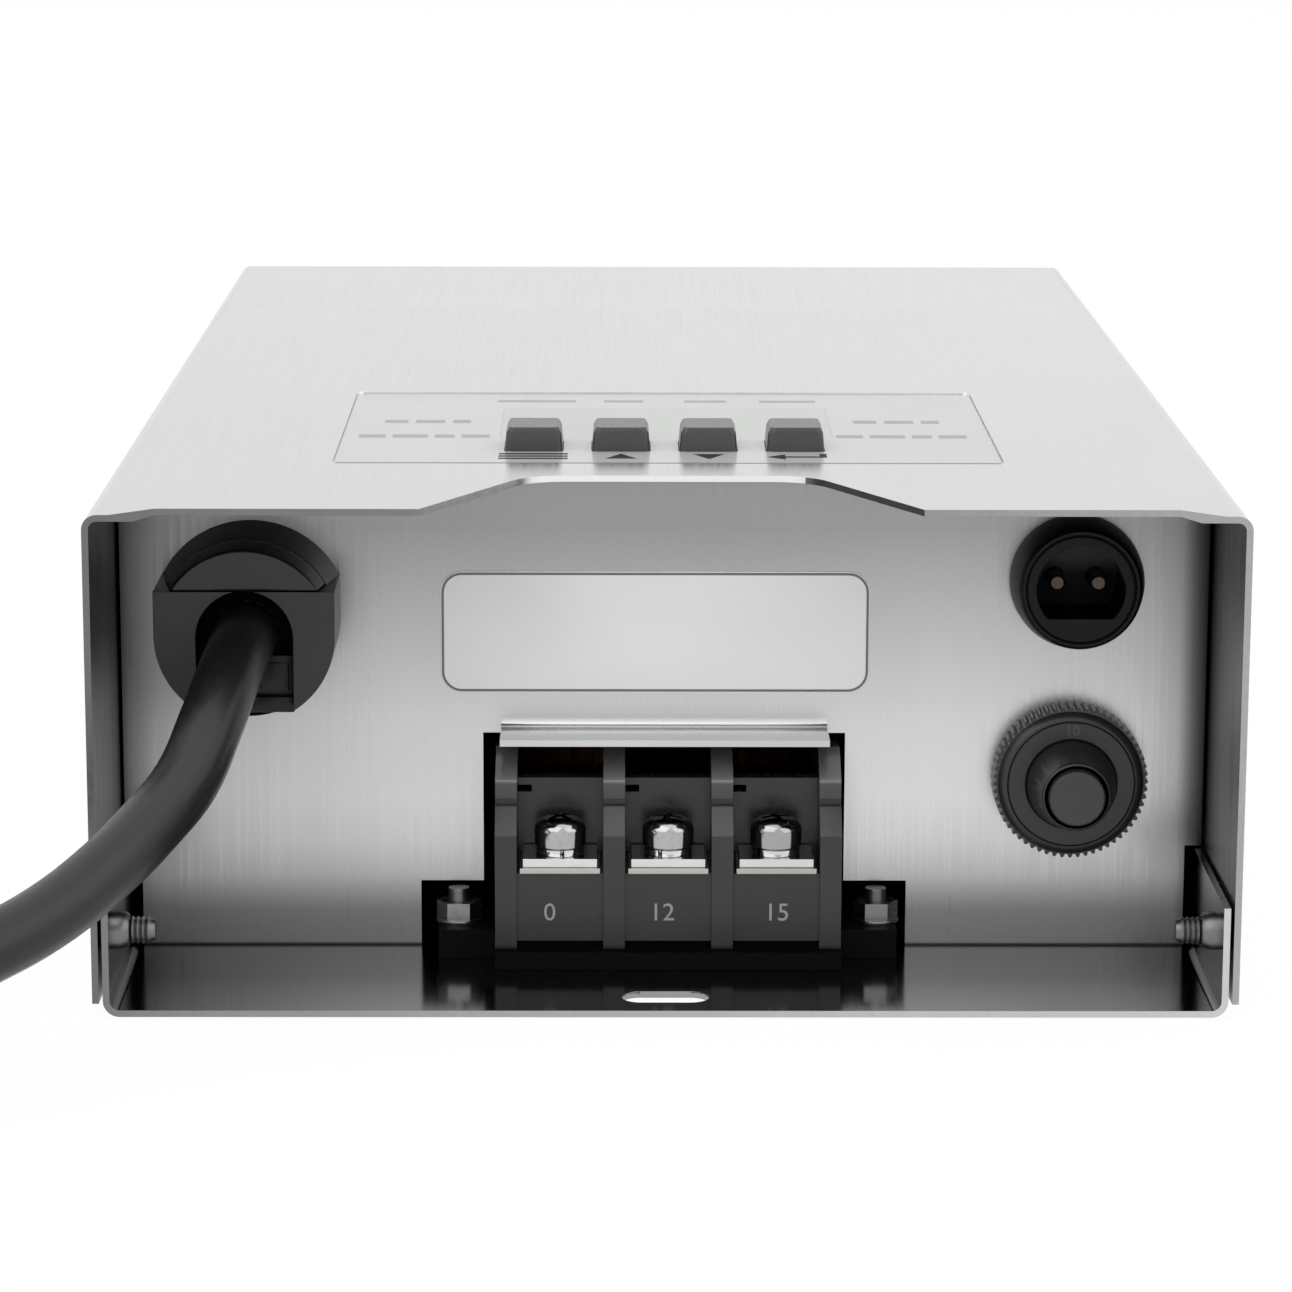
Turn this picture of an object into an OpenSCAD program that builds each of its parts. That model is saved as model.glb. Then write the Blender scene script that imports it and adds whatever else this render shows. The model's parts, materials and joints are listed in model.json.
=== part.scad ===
// Low voltage landscape transformer, lying on its back plate.
// -Y is the open terminal end, +Y is the end that points up when the unit
// hangs on a wall, and +Z points away from the wall. The origin is the middle
// of the back plate's underside. Lengths are millimetres.

/* [Case] */
// Outside width of the cover
case_w = 152; // [150:1:170]
// Length of the case along the wall
case_l = 258; // [254:1:300]
// Height of the cover's low border above the wall
case_h = 67.6; // [67:0.2:78]
// Thickness of the stainless steel sheet
sheet_t = 0.9; // [0.7:0.1:1]
// Gap between the cover's walls and the tray's flanges
cover_gap = 0.5; // [0.2:0.05:0.6]
// Outside radius of the cover's bends
cover_bend_r = 2; // [1.5:0.5:5]
// Height of the cover's lower edge above the wall
cover_lift = 1.8; // [1:0.2:4]
// Height of the raised field on the cover
emboss_h = 0.85; // [0.5:0.05:1.2]
// Distance of the raised field's foot from the cover's sides
emboss_side = 3.5; // [3:0.5:14]
// Length of the raised field from the open end
emboss_l = 200; // [150:1:225]
// Width of the sloping border round the raised field
emboss_slope = 6; // [3:0.5:9]
// Width of the notch in the cover's front edge
notch_w = 65.5; // [50:0.5:90]
// Width of the notch at its back
notch_back_w = 38; // [30:1:48]
// Depth of the notch
notch_d = 25.5; // [8:0.5:28]

/* [Back tray] */
// Height of the tray's flanges
flange_h = 15; // [12:0.5:20]
// Outside radius of the tray's bends
tray_bend_r = 2.2; // [1.6:0.2:6]
// Length of the lower mounting slot
slot_l = 11.7; // [8:0.1:16]
// Width of the lower mounting slot
slot_w = 5.2; // [4.2:0.1:7]
// Distance of the mounting slot from the front edge
slot_set = 6.5; // [5:0.5:10]
// Diameter of the keyhole's round end
keyhole_d = 9; // [8:0.5:11]
// Width of the keyhole's neck
keyhole_neck_w = 5.2; // [4.2:0.1:6]
// Distance of the keyhole's round end from the rear edge
keyhole_set = 14.5; // [14:0.5:16]
// Length of the keyhole's neck above the round end's middle
keyhole_neck_l = 8; // [6:0.5:9]

/* [Terminal panel] */
// Depth of the open bay in front of the panel
bay_d = 32; // [31:0.5:40]
// Width of the narrow part of the panel's opening
opening_w = 50; // [49.6:0.2:54]
// Height of the opening's top above the wall
opening_top = 31.3; // [30.8:0.1:33]
// Width of the wide part of the opening
opening_foot_w = 67.4; // [66:0.2:72]
// Height of the wide part above the wall
opening_foot_top = 10.2; // [10:0.1:14]
// Width of the lip over the terminals
lip_w = 45; // [36:1:48]
// Reach of the lip in front of the panel
lip_l = 8.5; // [5:0.5:10]
// Width of the label
label_w = 59; // [40:1:62]
// Height of the label
label_h = 17; // [12:0.5:20]

/* [Keypad] */
// Width of the shallow pocket that holds the keypad label
pocket_w = 92.4; // [88:0.2:110]
// Length of the pocket
pocket_l = 63.2; // [62:0.2:80]
// Distance of the pocket from the open end
pocket_set = 36; // [34:0.2:40]
// Depth of the pocket below the raised field
pocket_t = 0.5; // [0.3:0.05:0.7]
// Distance between neighbouring keys
key_pitch = 12.2; // [11.8:0.1:14]
// Width of a key at its top
key_w = 7.7; // [6:0.2:8.4]
// Length of a key at its top
key_l = 9.2; // [7:0.2:9.4]
// Height of a key above the raised field
key_rise = 3; // [2.5:0.1:5]
// How much wider a key is at its foot
key_flare = 0.4; // [0.2:0.1:0.7]
// Gap round a key in its hole
key_gap = 0.1; // [0.05:0.05:0.5]
// Travel of a key
key_travel = 0.8; // [0.4:0.1:1]
// Width of the display window
window_w = 47; // [30:1:56]
// Length of the display window
window_l = 26; // [18:1:28]

/* [Terminals] */
// Distance between neighbouring terminals
terminal_pitch = 14.8; // [14.2:0.1:15]
// Thickness of the ribs between the terminals
rib_t = 3; // [2.4:0.1:3.2]
// Reach of the terminal block in front of the panel
block_out = 11; // [10:0.5:13]
// Width of a clamp plate
clamp_w = 10.2; // [9:0.1:10.6]
// Thickness of a clamp plate
clamp_t = 1.2; // [1:0.1:1.5]
// Diameter of a terminal screw's thread
screw_d = 3.9; // [3:0.1:4]
// Diameter of a terminal screw's head
screw_head_d = 7.4; // [6:0.1:7.6]

/* [Panel fittings] */
// Diameter of the power cord
cord_d = 8.6; // [8:0.1:9]
// Distance of the strain relief's axis from the cover's inner side
relief_in = 18.4; // [17.1:0.1:27.1]
// Distance of the strain relief's axis below the lid
relief_drop = 19.1; // [17.7:0.1:20.7]
// Diameter of the strain relief at the panel
relief_d = 27; // [24:0.2:27]
// Reach of the strain relief in front of the panel
relief_out = 13.1; // [11:0.1:15]
// Distance of the socket's axis from the cover's inner side
socket_in = 18.6; // [17.1:0.1:25.1]
// Distance of the socket's axis below the lid
socket_drop = 13.8; // [12.7:0.1:15.7]
// Diameter of the sensor socket at the panel
socket_d = 18.4; // [17:0.2:20]
// Reach of the sensor socket in front of the panel
socket_out = 7; // [4:0.5:9]
// Distance of the breaker's axis from the cover's inner side
breaker_in = 19.2; // [17.1:0.1:25.1]
// Height of the breaker's axis, as a share of the height between tray and lid
breaker_rise_share = 0.3708; // [0.335:0.0001:0.381]
// Diameter of the breaker's ring nut
ring_nut_d = 21.3; // [18:0.1:23]
// Thickness of the breaker's ring nut
ring_nut_t = 5.2; // [3.5:0.1:6]
// Diameter of the reset button
button_d = 7.7; // [6:0.1:8]
// How far the reset button pops out
button_pop = 3; // [1:0.5:3.5]

/* [Transformer] */
// Outside diameter of the toroidal transformer
toroid_d = 116; // [90:1:118]
// Clearance between the transformer's stud and the lid
toroid_room = 2.3; // [0.3:0.1:10.3]
// Share of the spare length inside that lies behind the transformer
toroid_gap_share = 0.4141; // [0.05:0.0001:0.95]
// Diameter of the hole through the transformer
toroid_bore = 36; // [28:1:44]

/* [Hidden] */

$fn = 64;
over = 1;              // overrun of every cut
seat_gap = 0.3;        // clearance between parts that are not fastened
fit_gap = 0.05;        // radial clearance of a running fit
hull_fn = 32;          // fineness of shapes that are blended
skin = 0.02;           // thickness of the slices that a blend joins
slack = 0.15;          // clearance of a shape in its hole

// Planes of the case
front_y = -case_l / 2;
rear_y = case_l / 2;
panel_y = front_y + bay_d;
wall_x = case_w / 2 - sheet_t;
lid_z = case_h - sheet_t;
field_z = case_h + emboss_h;
tray_x = wall_x - cover_gap;
tray_rear = rear_y - sheet_t - cover_gap;
emboss_w = case_w - 2 * emboss_side;
relief_x = relief_in - wall_x;
relief_z = lid_z - relief_drop;
socket_x = wall_x - socket_in;
socket_z = lid_z - socket_drop;
breaker_x = wall_x - breaker_in;
breaker_z = sheet_t + breaker_rise_share * (lid_z - sheet_t);

// Case screws
case_screw_set = 5;        // from the case's open end
case_screw_rear_set = 15;
case_screw_z = 10.6;
case_screw_r = 1.9;
case_screw_head_r = 3.5;
case_screw_tip = 8.2;      // length inwards from the cover's face
case_nut_r = 2.6;
case_nut_t = 2.4;

// Panel
panel_gap = 0.4;           // beside the cover's walls
panel_foot_in = 2.3;       // how far the lower part stands back at its sides
panel_top = lid_z - seat_gap;
panel_step_z = flange_h + seat_gap;
panel_flange_l = 12;
panel_return_l = 10;
panel_return_set = 5;       // from the flange's and the lid's edges
lip_fillet_r = 1.2;
label_t = 0.2;
label_r = 3;
label_rise_share = 0.3855;  // of the height between the lip and the lid
lip_top_z = opening_top + sheet_t;
label_z = lip_top_z + label_rise_share * (lid_z - lip_top_z);
label_x = -1.3;

// Notch in the cover's front edge
face_mid_x = 0.5;          // middle of the notch, the keypad and the terminal block
notch_r = 8;               // radius of its inner corners

// Keypad pocket, overlay and keys
pocket_wall = 0.6;
pocket_r = 1;
pocket_y = front_y + pocket_set + pocket_l / 2;
pocket_floor_z = field_z - pocket_t;
pocket_under_z = pocket_floor_z - sheet_t;
overlay_t = 0.2;
overlay_gap = 0.2;
key_set = 15.6;            // from the pocket's front edge to the keys' middle
key_y = front_y + pocket_set + key_set;
key_mid_x = 0.1;
key_r = 0.8;
key_hole_w = key_w + key_flare + 2 * key_gap;
key_hole_l = key_l + key_flare + 2 * key_gap;
key_flange_over = 0.7;     // reach of a key's flange beyond its hole
key_flange_w = key_hole_w + 2 * key_flange_over;
key_flange_l = key_hole_l + 2 * key_flange_over;
key_flange_t = 1;
key_rest_gap = 0.1;
key_flange_z = pocket_under_z - key_rest_gap;
key_foot_z = pocket_floor_z + overlay_t + slack;
key_top_z = field_z + key_rise;
key_stem_r = 2;
plunger_r = 1.7;
plunger_l = 1.6;
plunger_in = 0.4;          // seat of a pressed plunger in its switch
plunger_well = 0.6;
key_count = 4;

// Timer board and what it carries
board_w = 82;
board_l = 60;
board_t = 1.6;
board_drop = 8.8;          // from the pocket's underside to the board's top
board_set = 2.3;           // behind the pocket's middle
board_y = pocket_y + board_set;
board_under_z = pocket_under_z - board_drop - board_t;
board_z = pocket_under_z - board_drop;
switch_w = 6;
switch_h = 3.4;
switch_bore_r = plunger_r + fit_gap;
standoff_r = 2.5;
standoff_inset = 4;
board_screw_r = 1.4;
board_screw_head_r = 2.6;
board_screw_head_t = 1.8;
window_set = 4.4;          // behind the pocket's middle
window_y = pocket_y + window_set;
window_flange = 1.2;
window_flange_t = 0.9;
display_gap = 0.3;
relay_w = 28;
relay_l = 12.5;
relay_h = 15.5;
relay_x = -20;
relay_set = 14;            // behind the board's middle
relay_y = board_y + relay_set;
cap_r = 5;
cap_h = 16;
cap_x = 22;
cap_set = 16;
cap_y = board_y + cap_set;

// Terminal block; heights are above the wall
block_x = face_mid_x;
block_w = 3 * terminal_pitch + rib_t;
block_y = panel_y - block_out;         // front face of the ribs
block_back = 11;                       // reach behind the panel
block_back_y = panel_y + block_back;
block_flange_z = 3.4;                  // top of the base flange
block_flange_out = 1.7;
ear_w = 63.2;
ear_z = 5;
ear_l = 11;
ear_set = 4;                // behind the ribs' faces
ear_hole_x = 28.9;
ear_hole_r = 1.6;
ear_hole_y = block_y + ear_set + ear_l / 2;
terminal_z = 14;                       // underside of the fixed plates
bay_floor_front = 0.5;                 // text face behind the ribs' faces
bay_face_foot_z = 4.4;
rib_face_z = 19.4;
rib_shoulder_z = 22.8;
rib_step_z = 23.6;
rib_nose_z = 26.3;
rib_back_z = 29.6;
rib_slope_y = 3.4;
rib_groove_y = 4.1;
rib_nose_y = 3.7;
rib_top_y = 10;
back_wall_set = 9;
back_wall_y = block_y + back_wall_set;
back_wall_t = 2.4;
back_wall_z = 25.4;
port_w = 1.9;
port_h = 0.95;
port_z = 23.4;
plate_t = 0.8;
plate_w = 11;
tab_w = 6.3;
tab_l = 8;
clamp_set = 4.5;
clamp_y = block_y + clamp_set;
clamp_l = 8;
clamp_z = terminal_z + plate_t;
clamp_groove = 0.4;
screw_washer_t = 1;
screw_washer_r = 3.3;
screw_head_t = 2.2;
screw_dome_t = 1;
screw_len = 10.5;
screw_slot_w = 1.1;
screw_slot_t = 1.5;
well_gap = 0.6;
well_r = screw_d / 2 + well_gap;
screw_dome_share = 0.6;
stud_r = 1.5;
stud_top_z = 9.7;
nut_washer_r = 3.2;
nut_washer_t = 0.5;
nut_r = 3.1;
nut_t = 2.4;

// Breaker
socket_nut_af = 19;        // across the flats of the nut above it
bushing_r = 6.1;
bushing_nose_r = 4.7;
bushing_out = 12.8;
breaker_w = 15;
breaker_under = 2.1;        // below the socket's nut
breaker_h = 2 * (socket_z - socket_nut_af / 2 - breaker_under - breaker_z);
breaker_l = 30;
nut_teeth = 44;
tooth_t = 0.5;
nut_face_in = 1.1;
button_gap = 0.08;
button_bore_r = button_d / 2 + button_gap;
button_seat = 1;           // from the nut's face to the bushing's cone
button_out = 13.8;
button_flange_r = 4.7;
button_flange_t = 1.2;
button_shoulder = 7;       // from the panel to the bore's front shoulder

// Sensor socket
socket_face_r = 7.3;
socket_neck_r = 7.9;
socket_bore_r = 6;
socket_flat = 4;           // from the axis to the bore's flat
socket_bore_l = 10;
socket_back = 6.5;
socket_pin_r = 1.1;
socket_pin_x = 2.85;
socket_pin_l = 5.4;
socket_tail_l = 4;
socket_nut_t = 4;

// Strain relief
relief_face_r = 11.7;
relief_flat_x = 12.2;
relief_neck_r = 10.8;
relief_back = 6.5;
relief_slot_r = 6.55;
relief_slot_l = 5.2;
relief_slot_drop = 0.4;
relief_slot_z = relief_z - relief_slot_drop;
relief_seam_gap = 0.1;
relief_seam_z = relief_slot_z + relief_slot_r - relief_seam_gap;
cord_r = cord_d / 2;
cord_tail_l = 5;
tail_y = panel_y + sheet_t + relief_back + cord_tail_l;
throat_y = panel_y - relief_out + relief_slot_l;

// Transformer
toroid_space = rear_y - sheet_t - relay_y - relay_l / 2 - toroid_d;
toroid_set = sheet_t + toroid_gap_share * toroid_space + toroid_d / 2;
toroid_y = rear_y - toroid_set;
pad_t = 3;
pad_in = 2;
pad_r = toroid_d / 2 - pad_in;
core_wall = 8;
winding_gap_deg = 14;
plate_disc_r = 40;
plate_disc_t = 1.5;
center_stud_r = 4;
center_nut_af = 13;
center_nut_t = 6.5;
center_stud_over = 1.5;
plate_under_z = lid_z - toroid_room - center_stud_over - center_nut_t - plate_disc_t;
toroid_h = plate_under_z - 2 * pad_t - sheet_t;
toroid_z = sheet_t + pad_t;
ground_in = 13.1;          // from the cover's inner side
ground_x = ground_in - wall_x;
ground_set = 24;           // behind the panel
ground_y = panel_y + ground_set;
ground_stud_h = 12;
ground_nut_r = 4;
ground_ring_r = 3.6;
ground_ring_t = 0.8;
ground_tongue_w = 4;
ground_tongue_l = 9;

// Power cord. The route of the cord's middle runs out of the strain relief,
// down to the surface that the unit lies on, and into the coil. Each place is
// the distance beside the strain relief, the distance behind the open end and
// the height.
cord_route = [
  [-1, 4.5, 45], [-2.5, -4.5, 41], [-5, -13, 35.5], [-9, -21, 31.5],
  [-14, -28.5, 27.5], [-20.5, -35.5, 23.5], [-28, -41.5, 20.5],
  [-36.5, -46.5, 17.5], [-46, -51, 14], [-57, -55, 10], [-68, -57.5, 7]
];
cord_sides = 10;
cord_gap = 0.7;            // between turns of the coil
coil_beside = -95.3;       // the coil's middle from the strain relief
coil_behind = -1;          // the coil's middle from the open end
coil_r = 57;               // outer turn, to the cord's middle
coil_low_turns = 2;
coil_back_turns = 0.5;
coil_high_turns = 1.75;
coil_end_turns = 0.25;     // part of the last turn that spreads towards the plug
coil_end_out = 2.4;
coil_end_up = 0.3;
coil_rings = 24;           // rings in each turn
coil_sides = 6;
coil_lead = 9;             // straight end of the coil
coil_start_deg = -90;      // the coil begins at its front
tie_w = 6;
tie_t = 0.6;
tie_gap = 0.35;
tie_r = 3;
plug_lead_l = 22;
plug_lead_r = 5.6;
plug_r = 14.2;
plug_l = 34;
plug_grow_share = 0.33;
plug_face_share = 0.17;
plug_face_r = 13;
blade_l = 17.5;
blade_w = 6.4;
blade_t = 1.5;
blade_x = 6.35;
blade_z = 3;
ground_pin_r = 2.4;
ground_pin_l = 20;
ground_pin_z = -8.9;
plug_step = 3;             // how far the body is wider than the sleeve
plug_lead_flare = 1.2;
grip_in = 1.6;             // depth of the flats for the fingers
foot_gap = 0.05;           // under the tie
coil_c = [relief_x + coil_beside, front_y + coil_behind];
coil_z = foot_gap + tie_t + tie_gap + cord_d / 2;
coil_step = cord_d + cord_gap;

// Internal leads
lead_d = 2.8;
thin_lead_d = 2;
lead_sides = 8;
lead_rings = 12;
lead_spread = 1.8;         // of the cord's cores at its end
gate_x = 1.7;              // leads pass the gap in the winding beside its middle
sleeve_wall = 1;
sleeve_l = 8.5;
sleeve_over = 1.2;         // closed end of a push-on sleeve
sleeve_in = 0.5;
neutral_share = 0.38;      // heights in the winding's gap, of the winding's height
feed_share = 0.54;
tap_shares = [0.17, 0.3, 0.17];
neutral_z = toroid_z + neutral_share * toroid_h;
feed_z = toroid_z + feed_share * toroid_h;
tap_z = [for (s = tap_shares) toroid_z + s * toroid_h];
tap_side = [-1, -1, 1];
feed_at = [32, 25];        // places on the board, from its middle
supply_at = [32, 13];
sensor_at = [36, -10];
sensor_step = 6;
tail_bow = 34;             // how far a lead runs on before it has turned
breaker_bow = 24;
ground_bow = 16;
tap_bow = 20;
sensor_bow = 9;

// Shared outlines

// Rectangle with round corners
module round_rect(w, l, r) {
  square([w - 2 * r, l], center = true);
  square([w, l - 2 * r], center = true);
  for (x = [-1, 1], y = [-1, 1])
    translate([x * (w / 2 - r), y * (l / 2 - r)]) circle(r);
}

// Quarter of a ring, the section of a bend in sheet metal
module bend_section(r, t) {
  intersection() {
    difference() {
      circle(r);
      circle(r - t);
    }
    translate([0, -r]) square(r);
  }
}

// Section of a folded channel, open upwards
module channel_section(w, h, r, t) {
  translate([-w / 2 + r, 0]) square([w - 2 * r, t]);
  for (side = [0, 1]) mirror([side, 0]) {
    translate([w / 2 - t, r]) square([t, h - r]);
    translate([w / 2 - r, r]) bend_section(r, t);
  }
}

// Slot with round ends along X
module slot_cut(l, w, h) {
  for (x = [-1, 1]) translate([x * (l - w) / 2, 0, 0]) cylinder(d = w, h = h);
  translate([-(l - w) / 2, -w / 2, 0]) cube([l - w, w, h]);
}

// Cylinder that runs towards the open end from the plane y
module along_y(x, y, z) {
  translate([x, y, z]) rotate([90, 0, 0]) children();
}

// Tube of radius r with n sides, swept through the places p
function unit(v) = v / norm(v);
function run_dir(p, i) =
  i == 0 ? unit(p[1] - p[0])
  : i == len(p) - 1 ? unit(p[i] - p[i - 1])
  : unit(unit(p[i] - p[i - 1]) + unit(p[i + 1] - p[i]));
function square_to(a, d) = unit(a - (a * d) * d);
function side_dirs(p) = [
  for (i = 0, a = square_to([1, 2, 3], run_dir(p, 0)); i < len(p);
       i = i + 1, a = i < len(p) ? square_to(a, run_dir(p, i)) : a) a];
function tube_ring(c, d, a, r, n) =
  let (b = cross(a, d))
  [for (k = [0 : n - 1]) c + r * (cos(360 * k / n) * a + sin(360 * k / n) * b)];
module tube(p, r, n) {
  count = len(p);
  dirs = side_dirs(p);
  corners = [for (i = [0 : count - 1]) each tube_ring(p[i], run_dir(p, i), dirs[i], r, n)];
  sides = [for (i = [0 : count - 2], k = [0 : n - 1])
    each let (a = i * n + k, b = i * n + (k + 1) % n)
    [[a, b, a + n], [b, b + n, a + n]]];
  first = [for (k = [1 : n - 2]) [0, k + 1, k]];
  last = [for (k = [1 : n - 2]) [0, k, k + 1] + (count - 1) * n * [1, 1, 1]];
  polyhedron(corners, concat(sides, first, last));
}

// Case

module tray_rear_bend() {
  r = 2 * sheet_t;
  flange_w = 2 * (tray_x - tray_bend_r);
  translate([-flange_w / 2, tray_rear - r, r]) rotate([90, 0, 90])
    linear_extrude(flange_w) bend_section(r, sheet_t);
  translate([-flange_w / 2, tray_rear - sheet_t, r])
    cube([flange_w, sheet_t, flange_h - r]);
}

module keyhole_cut() {
  y = rear_y - keyhole_set;
  translate([0, y, -over]) cylinder(d = keyhole_d, h = sheet_t + 2 * over);
  translate([-keyhole_neck_w / 2, y, -over])
    cube([keyhole_neck_w, keyhole_neck_l - keyhole_neck_w / 2, sheet_t + 2 * over]);
  translate([0, y + keyhole_neck_l - keyhole_neck_w / 2, -over])
    cylinder(d = keyhole_neck_w, h = sheet_t + 2 * over);
}

// Places of the four case screws, with each one's axis turned outwards
module at_case_screws() {
  for (side = [-1, 1], y = [front_y + case_screw_set, rear_y - case_screw_rear_set])
    translate([side * case_w / 2, y, case_screw_z]) rotate([0, side * 90, 0])
      children();
}

// Countersunk form of a case screw with its face at z = 0
module case_screw_form(grow) {
  head_t = case_screw_head_r - case_screw_r;
  translate([0, 0, -head_t])
    cylinder(r1 = case_screw_r + grow, r2 = case_screw_head_r + grow, h = head_t);
  translate([0, 0, -case_screw_tip])
    cylinder(r = case_screw_r + grow, h = case_screw_tip - head_t);
}

module base_tray() {
  r = 2 * sheet_t;
  color("silver") difference() {
    union() {
      translate([0, tray_rear - r, 0]) rotate([90, 0, 0])
        linear_extrude(tray_rear - r - front_y)
          channel_section(2 * tray_x, flange_h, tray_bend_r, sheet_t);
      tray_rear_bend();
    }
    translate([0, front_y + slot_set, -over]) slot_cut(slot_l, slot_w, sheet_t + 2 * over);
    keyhole_cut();
    at_case_screws() case_screw_form(fit_gap);
  }
}

module panel_opening() {
  translate([-opening_w / 2, panel_y - over, sheet_t / 2])
    cube([opening_w, sheet_t + 2 * over, opening_top - sheet_t / 2]);
  translate([-opening_foot_w / 2, panel_y - over, sheet_t / 2])
    cube([opening_foot_w, panel_flange_l + 2 * over, opening_foot_top - sheet_t / 2]);
}

module panel_lip() {
  translate([-lip_w / 2, panel_y - lip_l, opening_top]) cube([lip_w, lip_l, sheet_t]);
  translate([-lip_w / 2, panel_y, opening_top + sheet_t]) rotate([90, 0, 90])
    linear_extrude(lip_w) difference() {
      translate([-lip_fillet_r, 0]) square(lip_fillet_r);
      translate([-lip_fillet_r, lip_fillet_r]) circle(lip_fillet_r);
    }
}

module panel_sheet() {
  top_x = wall_x - panel_gap;
  foot_x = top_x - panel_foot_in;
  low_x = tray_x - tray_bend_r;
  return_z = flange_h + panel_return_set;
  translate([-top_x, panel_y, panel_step_z])
    cube([2 * top_x, sheet_t, panel_top - cover_bend_r - panel_step_z]);
  translate([cover_bend_r - top_x, panel_y, panel_top - 2 * cover_bend_r])
    cube([2 * (top_x - cover_bend_r), sheet_t, 2 * cover_bend_r]);
  for (x = [cover_bend_r - top_x, top_x - cover_bend_r])
    along_y(x, panel_y + sheet_t, panel_top - cover_bend_r) cylinder(r = cover_bend_r, h = sheet_t);
  translate([-foot_x, panel_y, tray_bend_r + sheet_t])
    cube([2 * foot_x, sheet_t, panel_step_z - tray_bend_r]);
  translate([-low_x, panel_y, sheet_t]) cube([2 * low_x, sheet_t, tray_bend_r + sheet_t]);
  for (side = [0, 1]) mirror([side, 0]) {
    translate([opening_foot_w / 2, panel_y, sheet_t])
      cube([low_x - opening_foot_w / 2, panel_flange_l, sheet_t]);
    translate([top_x - sheet_t, panel_y, return_z])
      cube([sheet_t, panel_return_l, case_h - panel_return_set - return_z]);
  }
}

module relief_section(r) {
  intersection() {
    circle(r);
    square([2 * min(r, relief_flat_x - (relief_d / 2 - r)), 2 * r], center = true);
  }
}

module terminal_panel() {
  hole_l = sheet_t + 2 * over;
  color("gainsboro") {
    difference() {
      panel_sheet();
      panel_opening();
      along_y(relief_x, panel_y + sheet_t + over, relief_z)
        linear_extrude(hole_l) relief_section(relief_neck_r + slack);
      along_y(socket_x, panel_y + sheet_t + over, socket_z)
        cylinder(r = socket_neck_r + slack, h = hole_l);
      along_y(breaker_x, panel_y + sheet_t + over, breaker_z)
        cylinder(r = bushing_r + slack, h = hole_l);
    }
    panel_lip();
  }
}

// Outline of the raised field, narrowed by inset, from the front edge back
module field_outline(inset, ahead) {
  w = emboss_w - 2 * inset;
  r = emboss_slope + cover_bend_r;
  back = front_y + emboss_l - inset;
  translate([-w / 2, front_y - ahead]) square([w, emboss_l - inset + ahead - r]);
  translate([-w / 2 + r, front_y - ahead]) square([w - 2 * r, emboss_l - inset + ahead]);
  for (side = [-1, 1]) translate([side * (w / 2 - r), back - r]) circle(r, $fn = hull_fn);
}

// The raised field as a solid from the foot to its top
module field_form(foot_z, top_z, ahead) {
  hull() {
    translate([0, 0, foot_z]) linear_extrude(skin) field_outline(0, ahead);
    translate([0, 0, top_z - skin]) linear_extrude(skin) field_outline(emboss_slope, ahead);
  }
}

// Solid block with the cover's shape, shrunk by t at its walls and top
module cover_block(t, ahead) {
  r = cover_bend_r - t;
  w = case_w - 2 * t;
  h = case_h - t;
  back = rear_y - t;
  len_y = back - front_y + ahead;
  low = cover_lift - ahead;
  intersection() {
    translate([0, back, 0]) rotate([90, 0, 0]) linear_extrude(len_y) {
      translate([-w / 2, low]) square([w, h - r - low]);
      translate([-w / 2 + r, low]) square([w - 2 * r, h - low]);
      for (side = [-1, 1]) translate([side * (w / 2 - r), h - r]) circle(r);
    }
    translate([-w / 2, 0, 0]) rotate([90, 0, 90]) linear_extrude(w) {
      translate([front_y - ahead, low]) square([len_y, h - r - low]);
      translate([front_y - ahead, low]) square([len_y - r, h - low]);
      translate([back - r, h - r]) circle(r);
    }
  }
}

module notch_cut() {
  lean = atan2(notch_d, (notch_w - notch_back_w) / 2);
  mid_x = notch_back_w / 2 - notch_r * tan(lean / 2);
  mid_y = front_y + notch_d - notch_r;
  side_x = mid_x + notch_r * sin(lean);
  side_y = mid_y + notch_r * cos(lean);
  translate([face_mid_x, 0, lid_z - over]) linear_extrude(sheet_t + emboss_h + 2 * over) {
    polygon([
      [-notch_w / 2, front_y - over], [notch_w / 2, front_y - over],
      [notch_w / 2, front_y], [side_x, side_y], [mid_x, front_y + notch_d],
      [-mid_x, front_y + notch_d], [-side_x, side_y], [-notch_w / 2, front_y]
    ]);
    for (x = [-mid_x, mid_x]) translate([x, mid_y]) circle(notch_r);
  }
}

function key_x(i) = key_mid_x + (i - (key_count - 1) / 2) * key_pitch;

module key_holes(z, h) {
  for (i = [0 : key_count - 1]) translate([key_x(i), key_y, z])
    linear_extrude(h) round_rect(key_hole_w, key_hole_l, key_r);
}

module front_cover() {
  floor_h = sheet_t + 2 * over;
  color("lightgray") difference() {
    union() {
      difference() {
        union() {
          cover_block(0, 0);
          field_form(case_h - skin, field_z, 0);
        }
        cover_block(sheet_t, over);
        field_form(lid_z - over, lid_z + emboss_h, over);
      }
      translate([face_mid_x, pocket_y, pocket_under_z]) linear_extrude(sheet_t)
        round_rect(pocket_w + 2 * pocket_wall, pocket_l + 2 * pocket_wall, pocket_r);
    }
    notch_cut();
    translate([face_mid_x, pocket_y, pocket_floor_z]) linear_extrude(pocket_t + over)
      round_rect(pocket_w, pocket_l, pocket_r);
    key_holes(pocket_under_z - over, floor_h);
    translate([face_mid_x, window_y, pocket_under_z - over]) linear_extrude(floor_h)
      round_rect(window_w + 2 * overlay_gap, window_l + 2 * overlay_gap, key_r);
    at_case_screws() case_screw_form(fit_gap);
  }
}

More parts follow.
